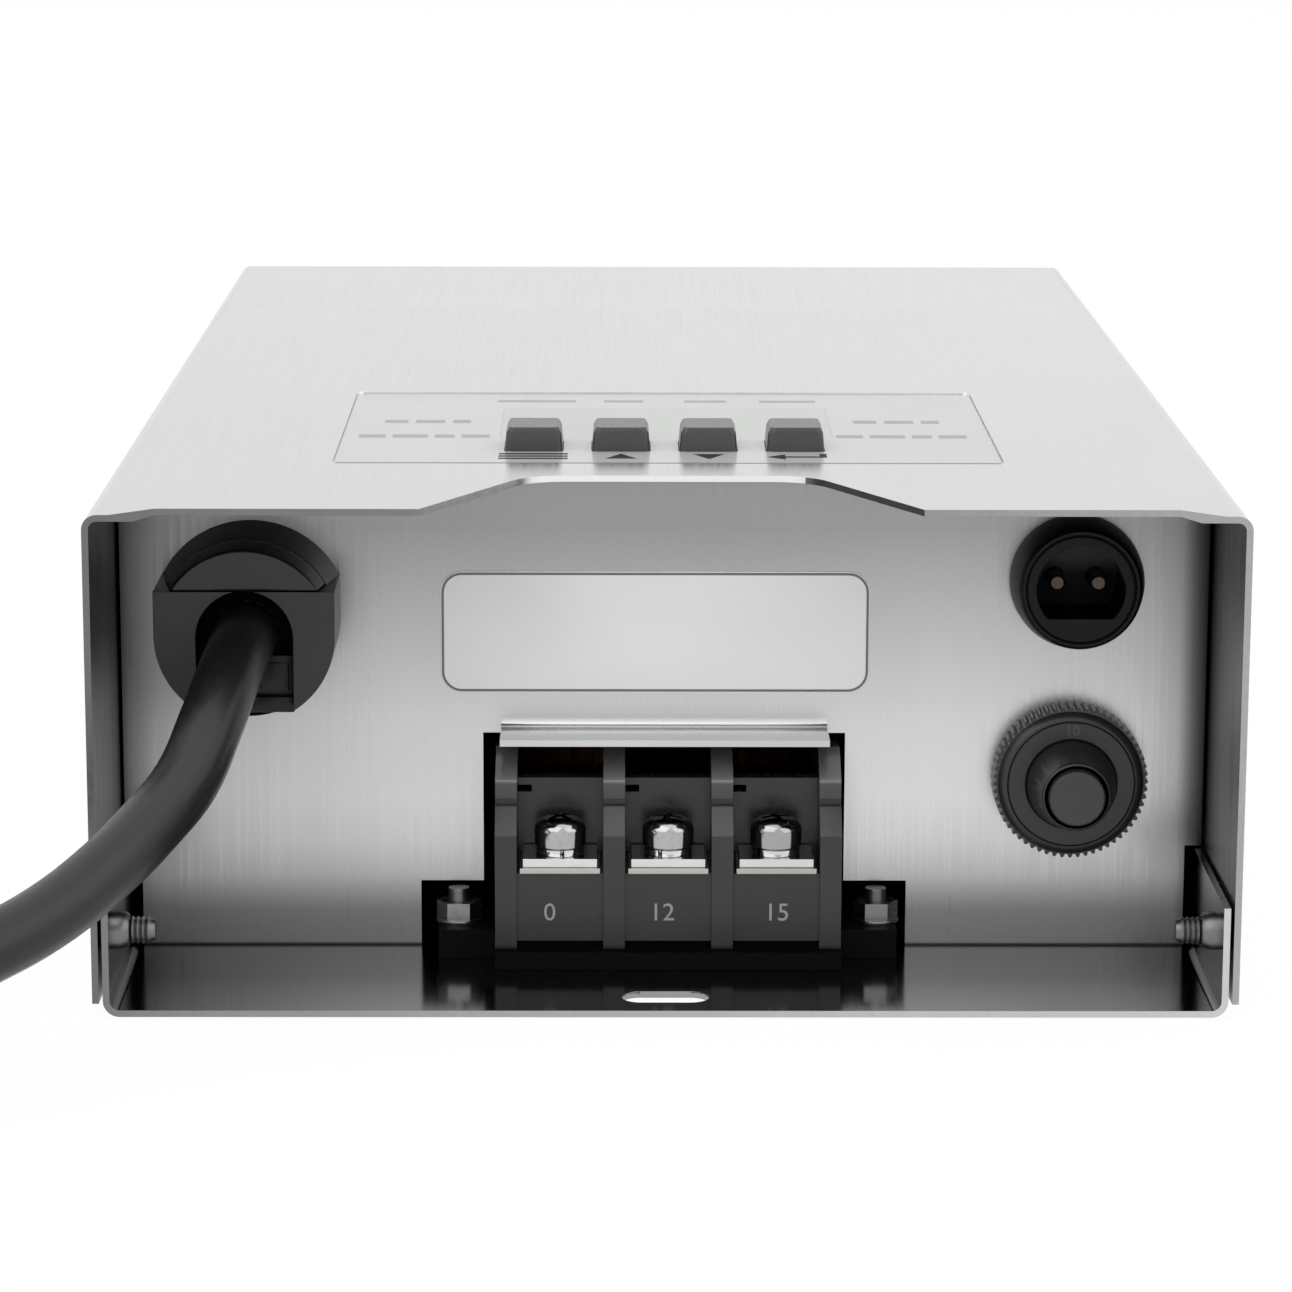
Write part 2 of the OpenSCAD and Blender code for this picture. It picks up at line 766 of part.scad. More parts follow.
module cover_screws() {
  color("silver") at_case_screws() difference() {
    case_screw_form(0);
    for (turn = [0, 90]) rotate([0, 0, turn])
      translate([-case_screw_r, -screw_slot_w / 2, -case_screw_r / 2])
        cube([2 * case_screw_r, screw_slot_w, case_screw_r]);
  }
}

module cover_nuts() {
  color("silver") at_case_screws()
    translate([0, 0, -2 * sheet_t - cover_gap - case_nut_t]) difference() {
      cylinder(r = case_nut_r, h = case_nut_t);
      translate([0, 0, -over]) cylinder(r = case_screw_r + fit_gap, h = case_nut_t + 2 * over);
    }
}

module rating_label() {
  color("whitesmoke") along_y(label_x, panel_y, label_z)
    linear_extrude(label_t) round_rect(label_w, label_h, label_r);
}

// Keypad and display

module keypad_overlay() {
  color("gainsboro") difference() {
    translate([face_mid_x, pocket_y, pocket_floor_z]) linear_extrude(overlay_t)
      round_rect(pocket_w - 2 * overlay_gap, pocket_l - 2 * overlay_gap, pocket_r);
    key_holes(pocket_floor_z - over, overlay_t + 2 * over);
    translate([face_mid_x, window_y, pocket_floor_z - over]) linear_extrude(overlay_t + 2 * over)
      round_rect(window_w + 2 * overlay_gap, window_l + 2 * overlay_gap, key_r);
  }
}

module display_window() {
  color("lightblue", 0.5) translate([face_mid_x, window_y, pocket_under_z]) {
    linear_extrude(sheet_t + overlay_t) round_rect(window_w, window_l, key_r);
    translate([0, 0, -window_flange_t]) linear_extrude(window_flange_t)
      round_rect(window_w + 2 * window_flange, window_l + 2 * window_flange, key_r);
  }
}

module display_module() {
  h = board_drop - window_flange_t - display_gap;
  color("darkslategray") translate([face_mid_x - window_w / 2, window_y - window_l / 2, board_z])
    cube([window_w, window_l, h]);
}

// A key: cap with a flared foot, a flange that stops it under the cover, and
// a stem down to its switch
module key(i) {
  plunger_z = board_z + switch_h + plunger_l;
  color("dimgray") translate([key_x(i), key_y, 0]) {
    hull() {
      translate([0, 0, key_foot_z]) linear_extrude(skin)
        round_rect(key_w + key_flare, key_l + key_flare, key_r, $fn = hull_fn);
      translate([0, 0, key_top_z - key_r]) linear_extrude(skin)
        round_rect(key_w, key_l, key_r, $fn = hull_fn);
      translate([0, 0, key_top_z - skin]) linear_extrude(skin)
        round_rect(key_w - key_r, key_l - key_r, key_r, $fn = hull_fn);
    }
    translate([0, 0, key_flange_z]) linear_extrude(key_foot_z - key_flange_z)
      round_rect(key_w + key_flare, key_l + key_flare, key_r);
    translate([0, 0, key_flange_z - key_flange_t]) linear_extrude(key_flange_t)
      round_rect(key_flange_w, key_flange_l, key_r);
    translate([0, 0, plunger_z])
      cylinder(r = key_stem_r, h = key_flange_z - key_flange_t - plunger_z);
  }
}

module plunger(i) {
  depth = key_travel + plunger_in;
  color("black") translate([key_x(i), key_y, board_z + switch_h - depth])
    cylinder(r = plunger_r, h = plunger_l + depth);
}

module menu_key() { key(0); }
module up_key() { key(1); }
module down_key() { key(2); }
module enter_key() { key(3); }
module menu_plunger() { plunger(0); }
module up_plunger() { plunger(1); }
module down_plunger() { plunger(2); }
module enter_plunger() { plunger(3); }

module tact_switches() {
  well_z = board_z + switch_h - 2 * key_travel - plunger_well;
  color("darkgray") for (i = [0 : key_count - 1]) difference() {
    translate([key_x(i) - switch_w / 2, key_y - switch_w / 2, board_z])
      cube([switch_w, switch_w, switch_h]);
    translate([key_x(i), key_y, well_z]) cylinder(r = switch_bore_r, h = switch_h);
  }
}

module at_board_corners(z) {
  for (x = [-1, 1], y = [-1, 1])
    translate([x * (board_w / 2 - standoff_inset),
               board_y + y * (board_l / 2 - standoff_inset), z]) children();
}

module timer_board() {
  color("darkgreen") difference() {
    translate([-board_w / 2, board_y - board_l / 2, board_z - board_t])
      cube([board_w, board_l, board_t]);
    at_board_corners(board_z - board_t - over)
      cylinder(r = board_screw_r + fit_gap, h = board_t + 2 * over);
  }
}

module board_standoffs() {
  color("gold") at_board_corners(board_z) difference() {
    cylinder(r = standoff_r, h = board_drop);
    translate([0, 0, -over])
      cylinder(r = board_screw_r + fit_gap, h = board_drop / 2 + over);
  }
}

module board_screws() {
  color("silver") at_board_corners(board_z - board_t) {
    translate([0, 0, -board_screw_head_t]) difference() {
      cylinder(r = board_screw_head_r, h = board_screw_head_t);
      for (turn = [0, 90]) rotate([0, 0, turn])
        translate([-board_screw_r, -board_screw_r / 4, -board_screw_r / 2])
          cube([2 * board_screw_r, board_screw_r / 2, board_screw_r]);
    }
    cylinder(r = board_screw_r, h = board_t + board_drop / 3);
  }
}

module power_relay() {
  color("royalblue") translate([relay_x - relay_w / 2, relay_y - relay_l / 2,
                                board_z - board_t - relay_h])
    cube([relay_w, relay_l, relay_h]);
}

module board_capacitor() {
  color("navy") translate([cap_x, cap_y, board_z - board_t - cap_h])
    cylinder(r = cap_r, h = cap_h);
}

// Terminals

function terminal_x(i) = block_x + (i - 2) * terminal_pitch;

module rib_section() {
  polygon([
    [block_y, block_flange_z], [block_y, rib_face_z],
    [block_y + rib_slope_y, rib_shoulder_z], [block_y + rib_groove_y, rib_shoulder_z],
    [block_y + rib_groove_y, rib_step_z], [block_y + rib_nose_y, rib_step_z],
    [block_y + rib_nose_y, rib_nose_z], [block_y + rib_top_y, rib_back_z],
    [block_back_y, rib_back_z], [block_back_y, block_flange_z]
  ]);
}

module terminal_block() {
  wall_l = back_wall_t + 2 * over;
  color("dimgray") difference() {
    union() {
      // base flange, and the two ears behind it
      translate([block_x - block_w / 2, block_y - block_flange_out, sheet_t])
        cube([block_w, block_back_y - block_y + block_flange_out, block_flange_z - sheet_t]);
      translate([block_x - ear_w / 2, block_y + ear_set, sheet_t])
        cube([ear_w, ear_l, ear_z - sheet_t]);
      // body under the fixed plates
      translate([block_x - block_w / 2, block_y + bay_floor_front, block_flange_z])
        cube([block_w, block_back_y - block_y - bay_floor_front, terminal_z - block_flange_z]);
      // ribs
      for (i = [0 : 3])
        translate([block_x - block_w / 2 + i * terminal_pitch, 0, 0])
          rotate([90, 0, 90]) linear_extrude(rib_t) rib_section();
      // wall behind the screws
      translate([block_x - block_w / 2, back_wall_y, terminal_z])
        cube([block_w, back_wall_t, back_wall_z - terminal_z]);
    }
    // lower edge of the text faces stands back
    for (i = [1 : 3]) {
      inner_w = terminal_pitch - rib_t;
      translate([terminal_x(i) - inner_w / 2, block_y - over, block_flange_z])
        cube([inner_w, over + 2 * bay_floor_front, bay_face_foot_z - block_flange_z]);
      // the fixed plate passes under the wall, and its screw has a well
      translate([terminal_x(i) - plate_w / 2 - fit_gap, back_wall_y - over, terminal_z])
        cube([plate_w + 2 * fit_gap, wall_l, plate_t + fit_gap]);
      translate([terminal_x(i), clamp_y, clamp_z - screw_len])
        cylinder(r = well_r, h = screw_len);
      translate([terminal_x(i) - inner_w / 2, back_wall_y - over, port_z])
        cube([port_w, wall_l, port_h]);
    }
    for (side = [-1, 1]) translate([block_x + side * ear_hole_x, ear_hole_y, 0])
      cylinder(r = ear_hole_r, h = ear_z + over);
  }
}

module contact_plates() {
  color("gainsboro") for (i = [1 : 3]) difference() {
    union() {
      translate([terminal_x(i) - plate_w / 2, block_y, terminal_z])
        cube([plate_w, block_back_y - block_y - over, plate_t]);
      translate([terminal_x(i) - tab_w / 2, block_back_y - over - fit_gap, terminal_z])
        cube([tab_w, tab_l + over, plate_t]);
    }
    translate([terminal_x(i), clamp_y, terminal_z - over])
      cylinder(r = screw_d / 2 + fit_gap, h = plate_t + 2 * over);
  }
}

module clamp_plate(i) {
  color("silver") translate([terminal_x(i), clamp_y, clamp_z]) difference() {
    translate([-clamp_w / 2, -clamp_l / 2, 0]) cube([clamp_w, clamp_l, clamp_t]);
    translate([0, 0, -over]) cylinder(r = screw_d / 2 + fit_gap, h = clamp_t + 2 * over);
    for (y = [-1, 1]) translate([-clamp_w / 2 - over, y * clamp_l / 3 - clamp_groove, -over])
      cube([clamp_w + 2 * over, 2 * clamp_groove, over + clamp_groove]);
  }
}

// Combination screw: spring washer, pan head with a cross recess, and shank
module terminal_screw(i) {
  head_z = clamp_z + clamp_t + screw_washer_t;
  color("silver") translate([terminal_x(i), clamp_y, 0]) difference() {
    union() {
      translate([0, 0, clamp_z + clamp_t]) cylinder(r = screw_washer_r, h = screw_washer_t);
      translate([0, 0, head_z]) cylinder(d = screw_head_d, h = screw_head_t);
      translate([0, 0, head_z + screw_head_t])
        cylinder(d1 = screw_head_d, d2 = screw_dome_share * screw_head_d, h = screw_dome_t);
      translate([0, 0, clamp_z + clamp_t + screw_washer_t - screw_len])
        cylinder(d = screw_d, h = screw_len);
    }
    for (turn = [0, 90]) rotate([0, 0, turn])
      translate([-screw_dome_share * screw_head_d / 2, -screw_slot_w / 2,
                 head_z + screw_head_t + screw_dome_t - screw_slot_t])
        cube([screw_dome_share * screw_head_d, screw_slot_w, screw_slot_t + over]);
  }
}

module clamp_plate_1() { clamp_plate(1); }
module clamp_plate_2() { clamp_plate(2); }
module clamp_plate_3() { clamp_plate(3); }
module terminal_screw_1() { terminal_screw(1); }
module terminal_screw_2() { terminal_screw(2); }
module terminal_screw_3() { terminal_screw(3); }

module at_ears(z) {
  for (side = [-1, 1]) translate([block_x + side * ear_hole_x, ear_hole_y, z]) children();
}

module block_studs() {
  color("silver") at_ears(sheet_t) cylinder(r = stud_r, h = stud_top_z - sheet_t);
}

module block_nuts() {
  color("silver") at_ears(ear_z) difference() {
    union() {
      cylinder(r = nut_washer_r, h = nut_washer_t);
      translate([0, 0, nut_washer_t]) cylinder(r = nut_r, h = nut_t, $fn = 6);
    }
    translate([0, 0, -over]) cylinder(r = stud_r + fit_gap, h = nut_t + nut_washer_t + 2 * over);
  }
}

// Circuit breaker

module breaker_body() {
  shoulder_y = panel_y - button_shoulder;
  bore_l = button_shoulder + sheet_t;
  nose_l = bushing_out - ring_nut_t - button_seat;
  color("#303030") difference() {
    union() {
      translate([breaker_x - breaker_w / 2, panel_y + sheet_t, breaker_z - breaker_h / 2])
        cube([breaker_w, breaker_l, breaker_h]);
      along_y(breaker_x, panel_y + sheet_t, breaker_z)
        cylinder(r = bushing_r, h = sheet_t + ring_nut_t + button_seat);
      along_y(breaker_x, panel_y - ring_nut_t - button_seat, breaker_z)
        cylinder(r1 = bushing_r, r2 = bushing_nose_r, h = nose_l);
    }
    along_y(breaker_x, shoulder_y + bore_l, breaker_z)
      cylinder(r = button_flange_r + fit_gap, h = bore_l);
    along_y(breaker_x, shoulder_y + over, breaker_z)
      cylinder(r = button_bore_r, h = bushing_out);
  }
}

// Ring nut with a toothed edge and a chamfered face
module breaker_nut() {
  r = ring_nut_d / 2;
  face_r = r - tooth_t - slack;
  step = 180 / nut_teeth;
  color("#383838") along_y(breaker_x, panel_y, breaker_z) difference() {
    union() {
      linear_extrude(ring_nut_t - nut_face_in) polygon([
        for (k = [0 : 2 * nut_teeth - 1])
          (r - (k % 2) * tooth_t) * [cos(k * step), sin(k * step)]]);
      translate([0, 0, ring_nut_t - nut_face_in])
        cylinder(r1 = face_r, r2 = face_r - nut_face_in, h = nut_face_in);
    }
    translate([0, 0, -over]) cylinder(r = bushing_r + fit_gap, h = ring_nut_t + 2 * over);
  }
}

module breaker_tabs() {
  color("gainsboro") for (side = [-1, 1])
    translate([breaker_x - plate_t / 2, panel_y + sheet_t + breaker_l,
               breaker_z + side * breaker_h / 4 - tab_w / 2])
      cube([plate_t, tab_l, tab_w]);
}

module reset_button() {
  flange_y = panel_y - button_shoulder + button_pop + button_flange_t + seat_gap;
  color("#404040") {
    along_y(breaker_x, flange_y - over / 2, breaker_z)
      cylinder(d = button_d, h = flange_y - over / 2 - panel_y + button_out);
    along_y(breaker_x, flange_y, breaker_z)
      cylinder(r = button_flange_r, h = button_flange_t);
  }
}

// Sensor socket

module socket_bore(l) {
  intersection() {
    cylinder(r = socket_bore_r, h = l);
    translate([-socket_bore_r, -socket_flat, 0])
      cube([2 * socket_bore_r, socket_flat + socket_bore_r, l]);
  }
}

module sensor_socket() {
  back_y = panel_y + sheet_t + socket_back;
  color("#202020") difference() {
    union() {
      along_y(socket_x, panel_y, socket_z)
        cylinder(r1 = socket_d / 2, r2 = socket_face_r, h = socket_out);
      along_y(socket_x, back_y, socket_z)
        cylinder(r = socket_neck_r, h = back_y - panel_y);
    }
    along_y(socket_x, panel_y - socket_out + socket_bore_l, socket_z)
      socket_bore(socket_bore_l + over);
    for (side = [-1, 1]) along_y(socket_x + side * socket_pin_x, back_y + over, socket_z)
      cylinder(r = socket_pin_r + fit_gap, h = socket_back + sheet_t + over);
  }
}

module socket_pins() {
  floor_y = panel_y - socket_out + socket_bore_l;
  tail_y = panel_y + sheet_t + socket_back + socket_tail_l;
  color("goldenrod") for (side = [-1, 1])
    along_y(socket_x + side * socket_pin_x, tail_y, socket_z)
      cylinder(r = socket_pin_r, h = tail_y - floor_y + socket_pin_l);
}

module socket_nut() {
  color("#282828") along_y(socket_x, panel_y + sheet_t + socket_nut_t, socket_z)
    difference() {
      cylinder(r = socket_nut_af / 2 / cos(30), h = socket_nut_t, $fn = 6);
      translate([0, 0, -over])
        cylinder(r = socket_neck_r + fit_gap, h = socket_nut_t + 2 * over);
    }
}

// Strain relief and power cord

// Tapered head of the strain relief, which its cap is cut from
module relief_head() {
  along_y(relief_x, panel_y, relief_z)
    cylinder(r1 = relief_d / 2, r2 = relief_face_r, h = relief_out);
}

// Part of the head below the seam: flat sides and a round foot
module relief_jaws() {
  along_y(relief_x, panel_y, relief_z) linear_extrude(relief_out) {
    circle(relief_flat_x);
    translate([-relief_flat_x, 0]) square([2 * relief_flat_x, relief_seam_z - relief_z]);
  }
}

module relief_body() {
  barrel_l = relief_back + sheet_t;
  color("#2a2a2a") difference() {
    union() {
      difference() {
        union() {
          intersection() {
            relief_head();
            translate([relief_x - relief_d, panel_y - relief_out, relief_seam_z - slack])
              cube([2 * relief_d, relief_out, relief_d]);
          }
          relief_jaws();
        }
        translate([relief_x - relief_d, panel_y - relief_out - over, relief_seam_z])
          cube([2 * relief_d, relief_slot_l + over, relief_d]);
      }
      along_y(relief_x, panel_y + barrel_l, relief_z)
        linear_extrude(barrel_l) relief_section(relief_neck_r);
    }
    // keyhole that the cord leaves through, open downwards
    along_y(relief_x, throat_y, relief_slot_z)
      cylinder(r = relief_slot_r, h = relief_slot_l + over);
    translate([relief_x - relief_slot_r, throat_y - relief_slot_l - over, relief_z - relief_d])
      cube([2 * relief_slot_r, relief_slot_l + over, relief_slot_z - relief_z + relief_d]);
    along_y(relief_x, panel_y + barrel_l + over, relief_slot_z)
      cylinder(r = cord_r + fit_gap, h = barrel_l + relief_out + 2 * over);
  }
}

module relief_cap() {
  color("#333333") intersection() {
    relief_head();
    translate([relief_x - relief_d, panel_y - relief_out, relief_seam_z + relief_seam_gap])
      cube([2 * relief_d, relief_slot_l - relief_seam_gap, relief_d]);
  }
}

module cord_tail() {
  color("black") along_y(relief_x, tail_y, relief_slot_z)
    cylinder(r = cord_r, h = tail_y - throat_y);
}

// The coil runs in on the lower layer, climbs a layer in the half turn where
// it turns back, and runs out again on the upper layer. Its radius and height
// at a number of turns from the start:
coil_low_r = coil_r - coil_step * coil_low_turns;
coil_high_start = coil_low_turns + coil_back_turns;
coil_turns = coil_high_start + coil_high_turns;
function smooth(s) = s * s * (3 - 2 * s);
function end_share(t) = smooth(max(0, (t - coil_turns + coil_end_turns) / coil_end_turns));
function back_share(t) = min(1, max(0, (t - coil_low_turns) / coil_back_turns));
function coil_radius(t) =
  t < coil_low_turns ? coil_r - coil_step * t
  : t < coil_high_start
    ? coil_low_r - coil_step * coil_back_turns * back_share(t) * (1 - back_share(t))
  : coil_low_r + coil_step * (t - coil_high_start) + coil_end_out * end_share(t);
function coil_height(t) =
  coil_z + coil_step * smooth(back_share(t)) + coil_end_up * end_share(t);
function coil_place(t) =
  let (a = coil_start_deg - 360 * t, r = coil_radius(t))
  [coil_c[0] + r * cos(a), coil_c[1] + r * sin(a), coil_height(t)];
coil_steps = round(coil_turns * coil_rings);
coil_turn_points = [for (k = [0 : coil_steps]) coil_place(k / coil_rings)];
coil_points = concat(
  [coil_turn_points[0] + [coil_lead, 0, 0]],
  coil_turn_points,
  [coil_turn_points[coil_steps] + [0, coil_lead, 0]]
);
plug_start = coil_points[len(coil_points) - 1];
cord_start = [relief_x, throat_y, relief_slot_z];
cord_points = concat(
  [cord_start, cord_start - [0, cord_d, 0]],
  [for (q = cord_route) [relief_x + q[0], front_y + q[1], q[2]]],
  [coil_points[0] + [cord_d, 0, 0], coil_points[0]]
);

// Least distance between the surfaces of turns of the coil, and the length of
// the free cord and of the coil together
coil_near = min([
  for (i = [0 : coil_steps], j = [i + coil_rings / 4 : 1 : coil_steps])
    norm(coil_turn_points[i] - coil_turn_points[j])]);
function steps_of(p) = [for (i = [0 : len(p) - 2]) norm(p[i + 1] - p[i])];
function total(v) = v * [for (x = v) 1];
echo(coil_least_gap = coil_near - cord_d);
echo(cord_length = total(steps_of(cord_points)) + total(steps_of(coil_points)));

module power_cord() {
  color("black") tube(cord_points, cord_r, cord_sides);
}

module cord_coil() {
  color("black") tube(coil_points, cord_r, coil_sides);
}

// Band round the turns at the side of the coil that is farthest along Y
module cord_tie() {
  high_r = coil_radius(coil_back_turns) + cord_r + tie_gap;
  low_r = coil_radius(coil_high_start) - cord_r - tie_gap;
  bottom = coil_z - cord_r - tie_gap;
  top = coil_z + coil_step + cord_r + tie_gap;
  w = high_r - low_r;
  h = top - bottom;
  color("#1c1c1c")
    translate([coil_c[0] - tie_w / 2, coil_c[1] + (high_r + low_r) / 2, (top + bottom) / 2])
      rotate([90, 0, 90]) linear_extrude(tie_w) difference() {
        round_rect(w + 2 * tie_t, h + 2 * tie_t, tie_r + tie_t);
        round_rect(w, h, tie_r);
      }
}

module plug_body() {
  grow_l = plug_grow_share * plug_l;
  face_l = plug_face_share * plug_l;
  color("#1a1a1a") translate(plug_start) rotate([-90, 0, 0]) {
    cylinder(r1 = plug_lead_r, r2 = plug_lead_r + plug_lead_flare, h = plug_lead_l);
    translate([0, 0, plug_lead_l]) difference() {
      union() {
        cylinder(r1 = plug_lead_r + plug_step, r2 = plug_r, h = grow_l);
        translate([0, 0, grow_l]) cylinder(r = plug_r, h = plug_l - grow_l - face_l);
        translate([0, 0, plug_l - face_l])
          cylinder(r1 = plug_r, r2 = plug_face_r, h = face_l);
      }
      for (side = [0, 1]) mirror([side, 0, 0])
        translate([plug_r - grip_in, -plug_r, plug_l / 5]) cube([plug_r, 2 * plug_r, plug_l / 2]);
    }
  }
}

module plug_blades() {
  color("gold") translate(plug_start) rotate([-90, 0, 0])
    translate([0, 0, plug_lead_l + plug_l]) {
      for (side = [-1, 1])
        translate([side * blade_x - blade_t / 2, -blade_z - blade_w / 2, 0])
          cube([blade_t, blade_w, blade_l]);
      translate([0, -ground_pin_z, 0]) cylinder(r = ground_pin_r, h = ground_pin_l);
    }
}

// Transformer

plate_z = toroid_z + toroid_h + pad_t;

// Rectangle in the half plane that a ring's section is turned from
module ring_section(r_in, r_out, z_low, z_high) {
  translate([r_in, z_low]) square([r_out - r_in, z_high - z_low]);
}

module toroid_core() {
  color("dimgray") translate([0, toroid_y, toroid_z]) rotate_extrude()
    ring_section(toroid_bore / 2 + core_wall, toroid_d / 2 - core_wall,
                 core_wall, toroid_h - core_wall);
}

// Windings that cover all the core but a short gap where the leads leave
module toroid_winding() {
  color("#b87333") translate([0, toroid_y, toroid_z])
    rotate([0, 0, -90 + winding_gap_deg / 2]) rotate_extrude(angle = 360 - winding_gap_deg)
      difference() {
        ring_section(toroid_bore / 2, toroid_d / 2, 0, toroid_h);
        ring_section(toroid_bore / 2 + core_wall - fit_gap, toroid_d / 2 - core_wall + fit_gap,
                     core_wall - fit_gap, toroid_h - core_wall + fit_gap);
      }
}

module toroid_pads() {
  color("#181818") for (z = [sheet_t, toroid_z + toroid_h])
    translate([0, toroid_y, z]) difference() {
      cylinder(r = pad_r, h = pad_t);
      translate([0, 0, -over]) cylinder(r = center_stud_r + seat_gap, h = pad_t + 2 * over);
    }
}

module toroid_plate() {
  color("silver") translate([0, toroid_y, plate_z]) difference() {
    cylinder(r = plate_disc_r, h = plate_disc_t);
    translate([0, 0, -over]) cylinder(r = center_stud_r + fit_gap, h = plate_disc_t + 2 * over);
  }
}

module toroid_stud() {
  top = plate_z + plate_disc_t + center_nut_t + center_stud_over;
  color("silver") translate([0, toroid_y, sheet_t])
    cylinder(r = center_stud_r, h = top - sheet_t);
}

module toroid_nut() {
  color("silver") translate([0, toroid_y, plate_z + plate_disc_t]) difference() {
    cylinder(r = center_nut_af / 2 / cos(30), h = center_nut_t, $fn = 6);
    translate([0, 0, -over]) cylinder(r = center_stud_r + fit_gap, h = center_nut_t + 2 * over);
  }
}

module ground_stud() {
  color("gold") translate([ground_x, ground_y, sheet_t])
    cylinder(r = stud_r, h = ground_stud_h - sheet_t);
}

module ground_nut() {
  color("gold") translate([ground_x, ground_y, sheet_t + ground_ring_t]) difference() {
    cylinder(r = ground_nut_r, h = nut_t, $fn = 6);
    translate([0, 0, -over]) cylinder(r = stud_r + fit_gap, h = nut_t + 2 * over);
  }
}

// Leads. A lead runs straight out of a in the direction u, bends, and runs
// straight into b against the direction v.
function bend(a, b, c, d, t) =
  pow(1 - t, 3) * a + 3 * pow(1 - t, 2) * t * b + 3 * (1 - t) * t * t * c + t * t * t * d;
function lead_route(a, u, b, v, bow, d) = concat(
  [a],
  [for (k = [0 : lead_rings])
    bend(a + d * u, a + (d + bow) * u, b + (d + bow) * v, b + d * v, k / lead_rings)],
  [b]
);

// The way from in front of the winding's gap into the winding's cut face
function gap_route(side, z) =
  let (half = winding_gap_deg / 2, r = (toroid_d - core_wall) / 2,
       x = r * sin(half), y = toroid_y - r * cos(half), n = lead_d * [cos(half), sin(half)])
  [
    [side * gate_x, y - lead_d, z],
    [side * (x - n[0]), y - n[1], z],
    [side * x, y, z]
  ];
function gate(side, z) = [side * gate_x, toroid_y - toroid_d / 2 - lead_d, z];

module lead(p, d = lead_d) {
  tube(p, d / 2, lead_sides);
}

// Lead between any place and the winding
module winding_lead(a, u, side, z, bow) {
  lead(concat(lead_route(a, u, gate(side, z), [0, -1, 0], bow, lead_d), gap_route(side, z)));
}

// Push-on sleeve for a tab that ends at the origin and comes from -Y
module sleeve() {
  w = tab_w + 2 * sleeve_wall;
  h = plate_t + 2 * sleeve_wall;
  difference() {
    translate([-w / 2, sleeve_over - sleeve_l, -h / 2]) cube([w, sleeve_l, h]);
    translate([-tab_w / 2 - fit_gap, -sleeve_l, -plate_t / 2 - fit_gap])
      cube([tab_w + 2 * fit_gap, sleeve_l + fit_gap, plate_t + 2 * fit_gap]);
  }
}

function core_place(x, z) = [relief_x + x, tail_y, relief_slot_z + z];
function breaker_tab(side) =
  [breaker_x, panel_y + sheet_t + breaker_l + tab_l, breaker_z + side * breaker_h / 4];
function sleeve_side(side) =
  breaker_tab(side) - [plate_t / 2 + sleeve_wall - sleeve_in, sleeve_l / 3, 0];
function board_place(at) = [at[0], board_y + at[1], board_under_z];

module mains_leads() {
  tongue = [ground_x, ground_y + ground_tongue_l - lead_d, sheet_t + ground_ring_t - slack];
  color("white") {
    winding_lead(core_place(-lead_spread, lead_spread / 2), [0, 1, 0], -1, neutral_z,
                 tail_bow);
    lead(lead_route(core_place(lead_spread, lead_spread / 2), [0, 1, 0],
                    sleeve_side(1), [-1, 0, 0], breaker_bow, lead_d));
    translate(breaker_tab(1)) rotate([0, 90, 0]) sleeve();
  }
  color("green") {
    lead(lead_route(core_place(0, -lead_spread), [0, 1, 0], tongue, [0, 0, 1],
                    ground_bow, lead_d));
    translate([ground_x, ground_y, sheet_t]) difference() {
      union() {
        cylinder(r = ground_ring_r, h = ground_ring_t);
        translate([-ground_tongue_w / 2, 0, 0])
          cube([ground_tongue_w, ground_tongue_l, ground_ring_t]);
      }
      translate([0, 0, -over]) cylinder(r = stud_r + fit_gap, h = ground_ring_t + 2 * over);
    }
  }
}

module secondary_leads() {
  tab_y = block_back_y - fit_gap + tab_l;
  color("black") for (i = [1 : 3]) {
    end = [terminal_x(i), tab_y, terminal_z + plate_t / 2];
    winding_lead(end + [0, sleeve_over - sleeve_in, 0], [0, 1, 0],
                 tap_side[i - 1], tap_z[i - 1], tap_bow);
    translate(end) sleeve();
  }
}

module breaker_leads() {
  color("black") {
    lead(lead_route(sleeve_side(-1), [-1, 0, 0], board_place(supply_at), [0, 0, -1],
                    ground_bow, lead_d));
    translate(breaker_tab(-1)) rotate([0, 90, 0]) sleeve();
    winding_lead(board_place(feed_at), [0, 0, -1], 1, feed_z, ground_bow);
  }
}

module sensor_leads() {
  tail = panel_y + sheet_t + socket_back + socket_tail_l;
  color("gray") for (side = [-1, 1])
    lead(lead_route([socket_x + side * socket_pin_x, tail, socket_z], [0, 1, 0],
                    board_place(sensor_at + [0, (side + 1) / 2 * sensor_step]), [0, 0, -1],
                    sensor_bow, thin_lead_d), thin_lead_d);
}

base_tray();
terminal_panel();
front_cover();
cover_screws();
cover_nuts();
rating_label();
keypad_overlay();
display_window();
display_module();
menu_key();
up_key();
down_key();
enter_key();
menu_plunger();
up_plunger();
down_plunger();
enter_plunger();
tact_switches();
timer_board();
board_standoffs();
board_screws();
power_relay();
board_capacitor();
terminal_block();
contact_plates();
block_studs();
block_nuts();
clamp_plate_1();
clamp_plate_2();
clamp_plate_3();
terminal_screw_1();
terminal_screw_2();
terminal_screw_3();
breaker_body();
breaker_nut();
breaker_tabs();
reset_button();
sensor_socket();
socket_pins();
socket_nut();
relief_body();
relief_cap();
cord_tail();
power_cord();
cord_coil();
cord_tie();
plug_body();
plug_blades();
toroid_core();
toroid_winding();
toroid_pads();
toroid_plate();
toroid_stud();
toroid_nut();
ground_stud();
ground_nut();
mains_leads();
secondary_leads();
breaker_leads();
sensor_leads();
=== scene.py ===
import json
import math

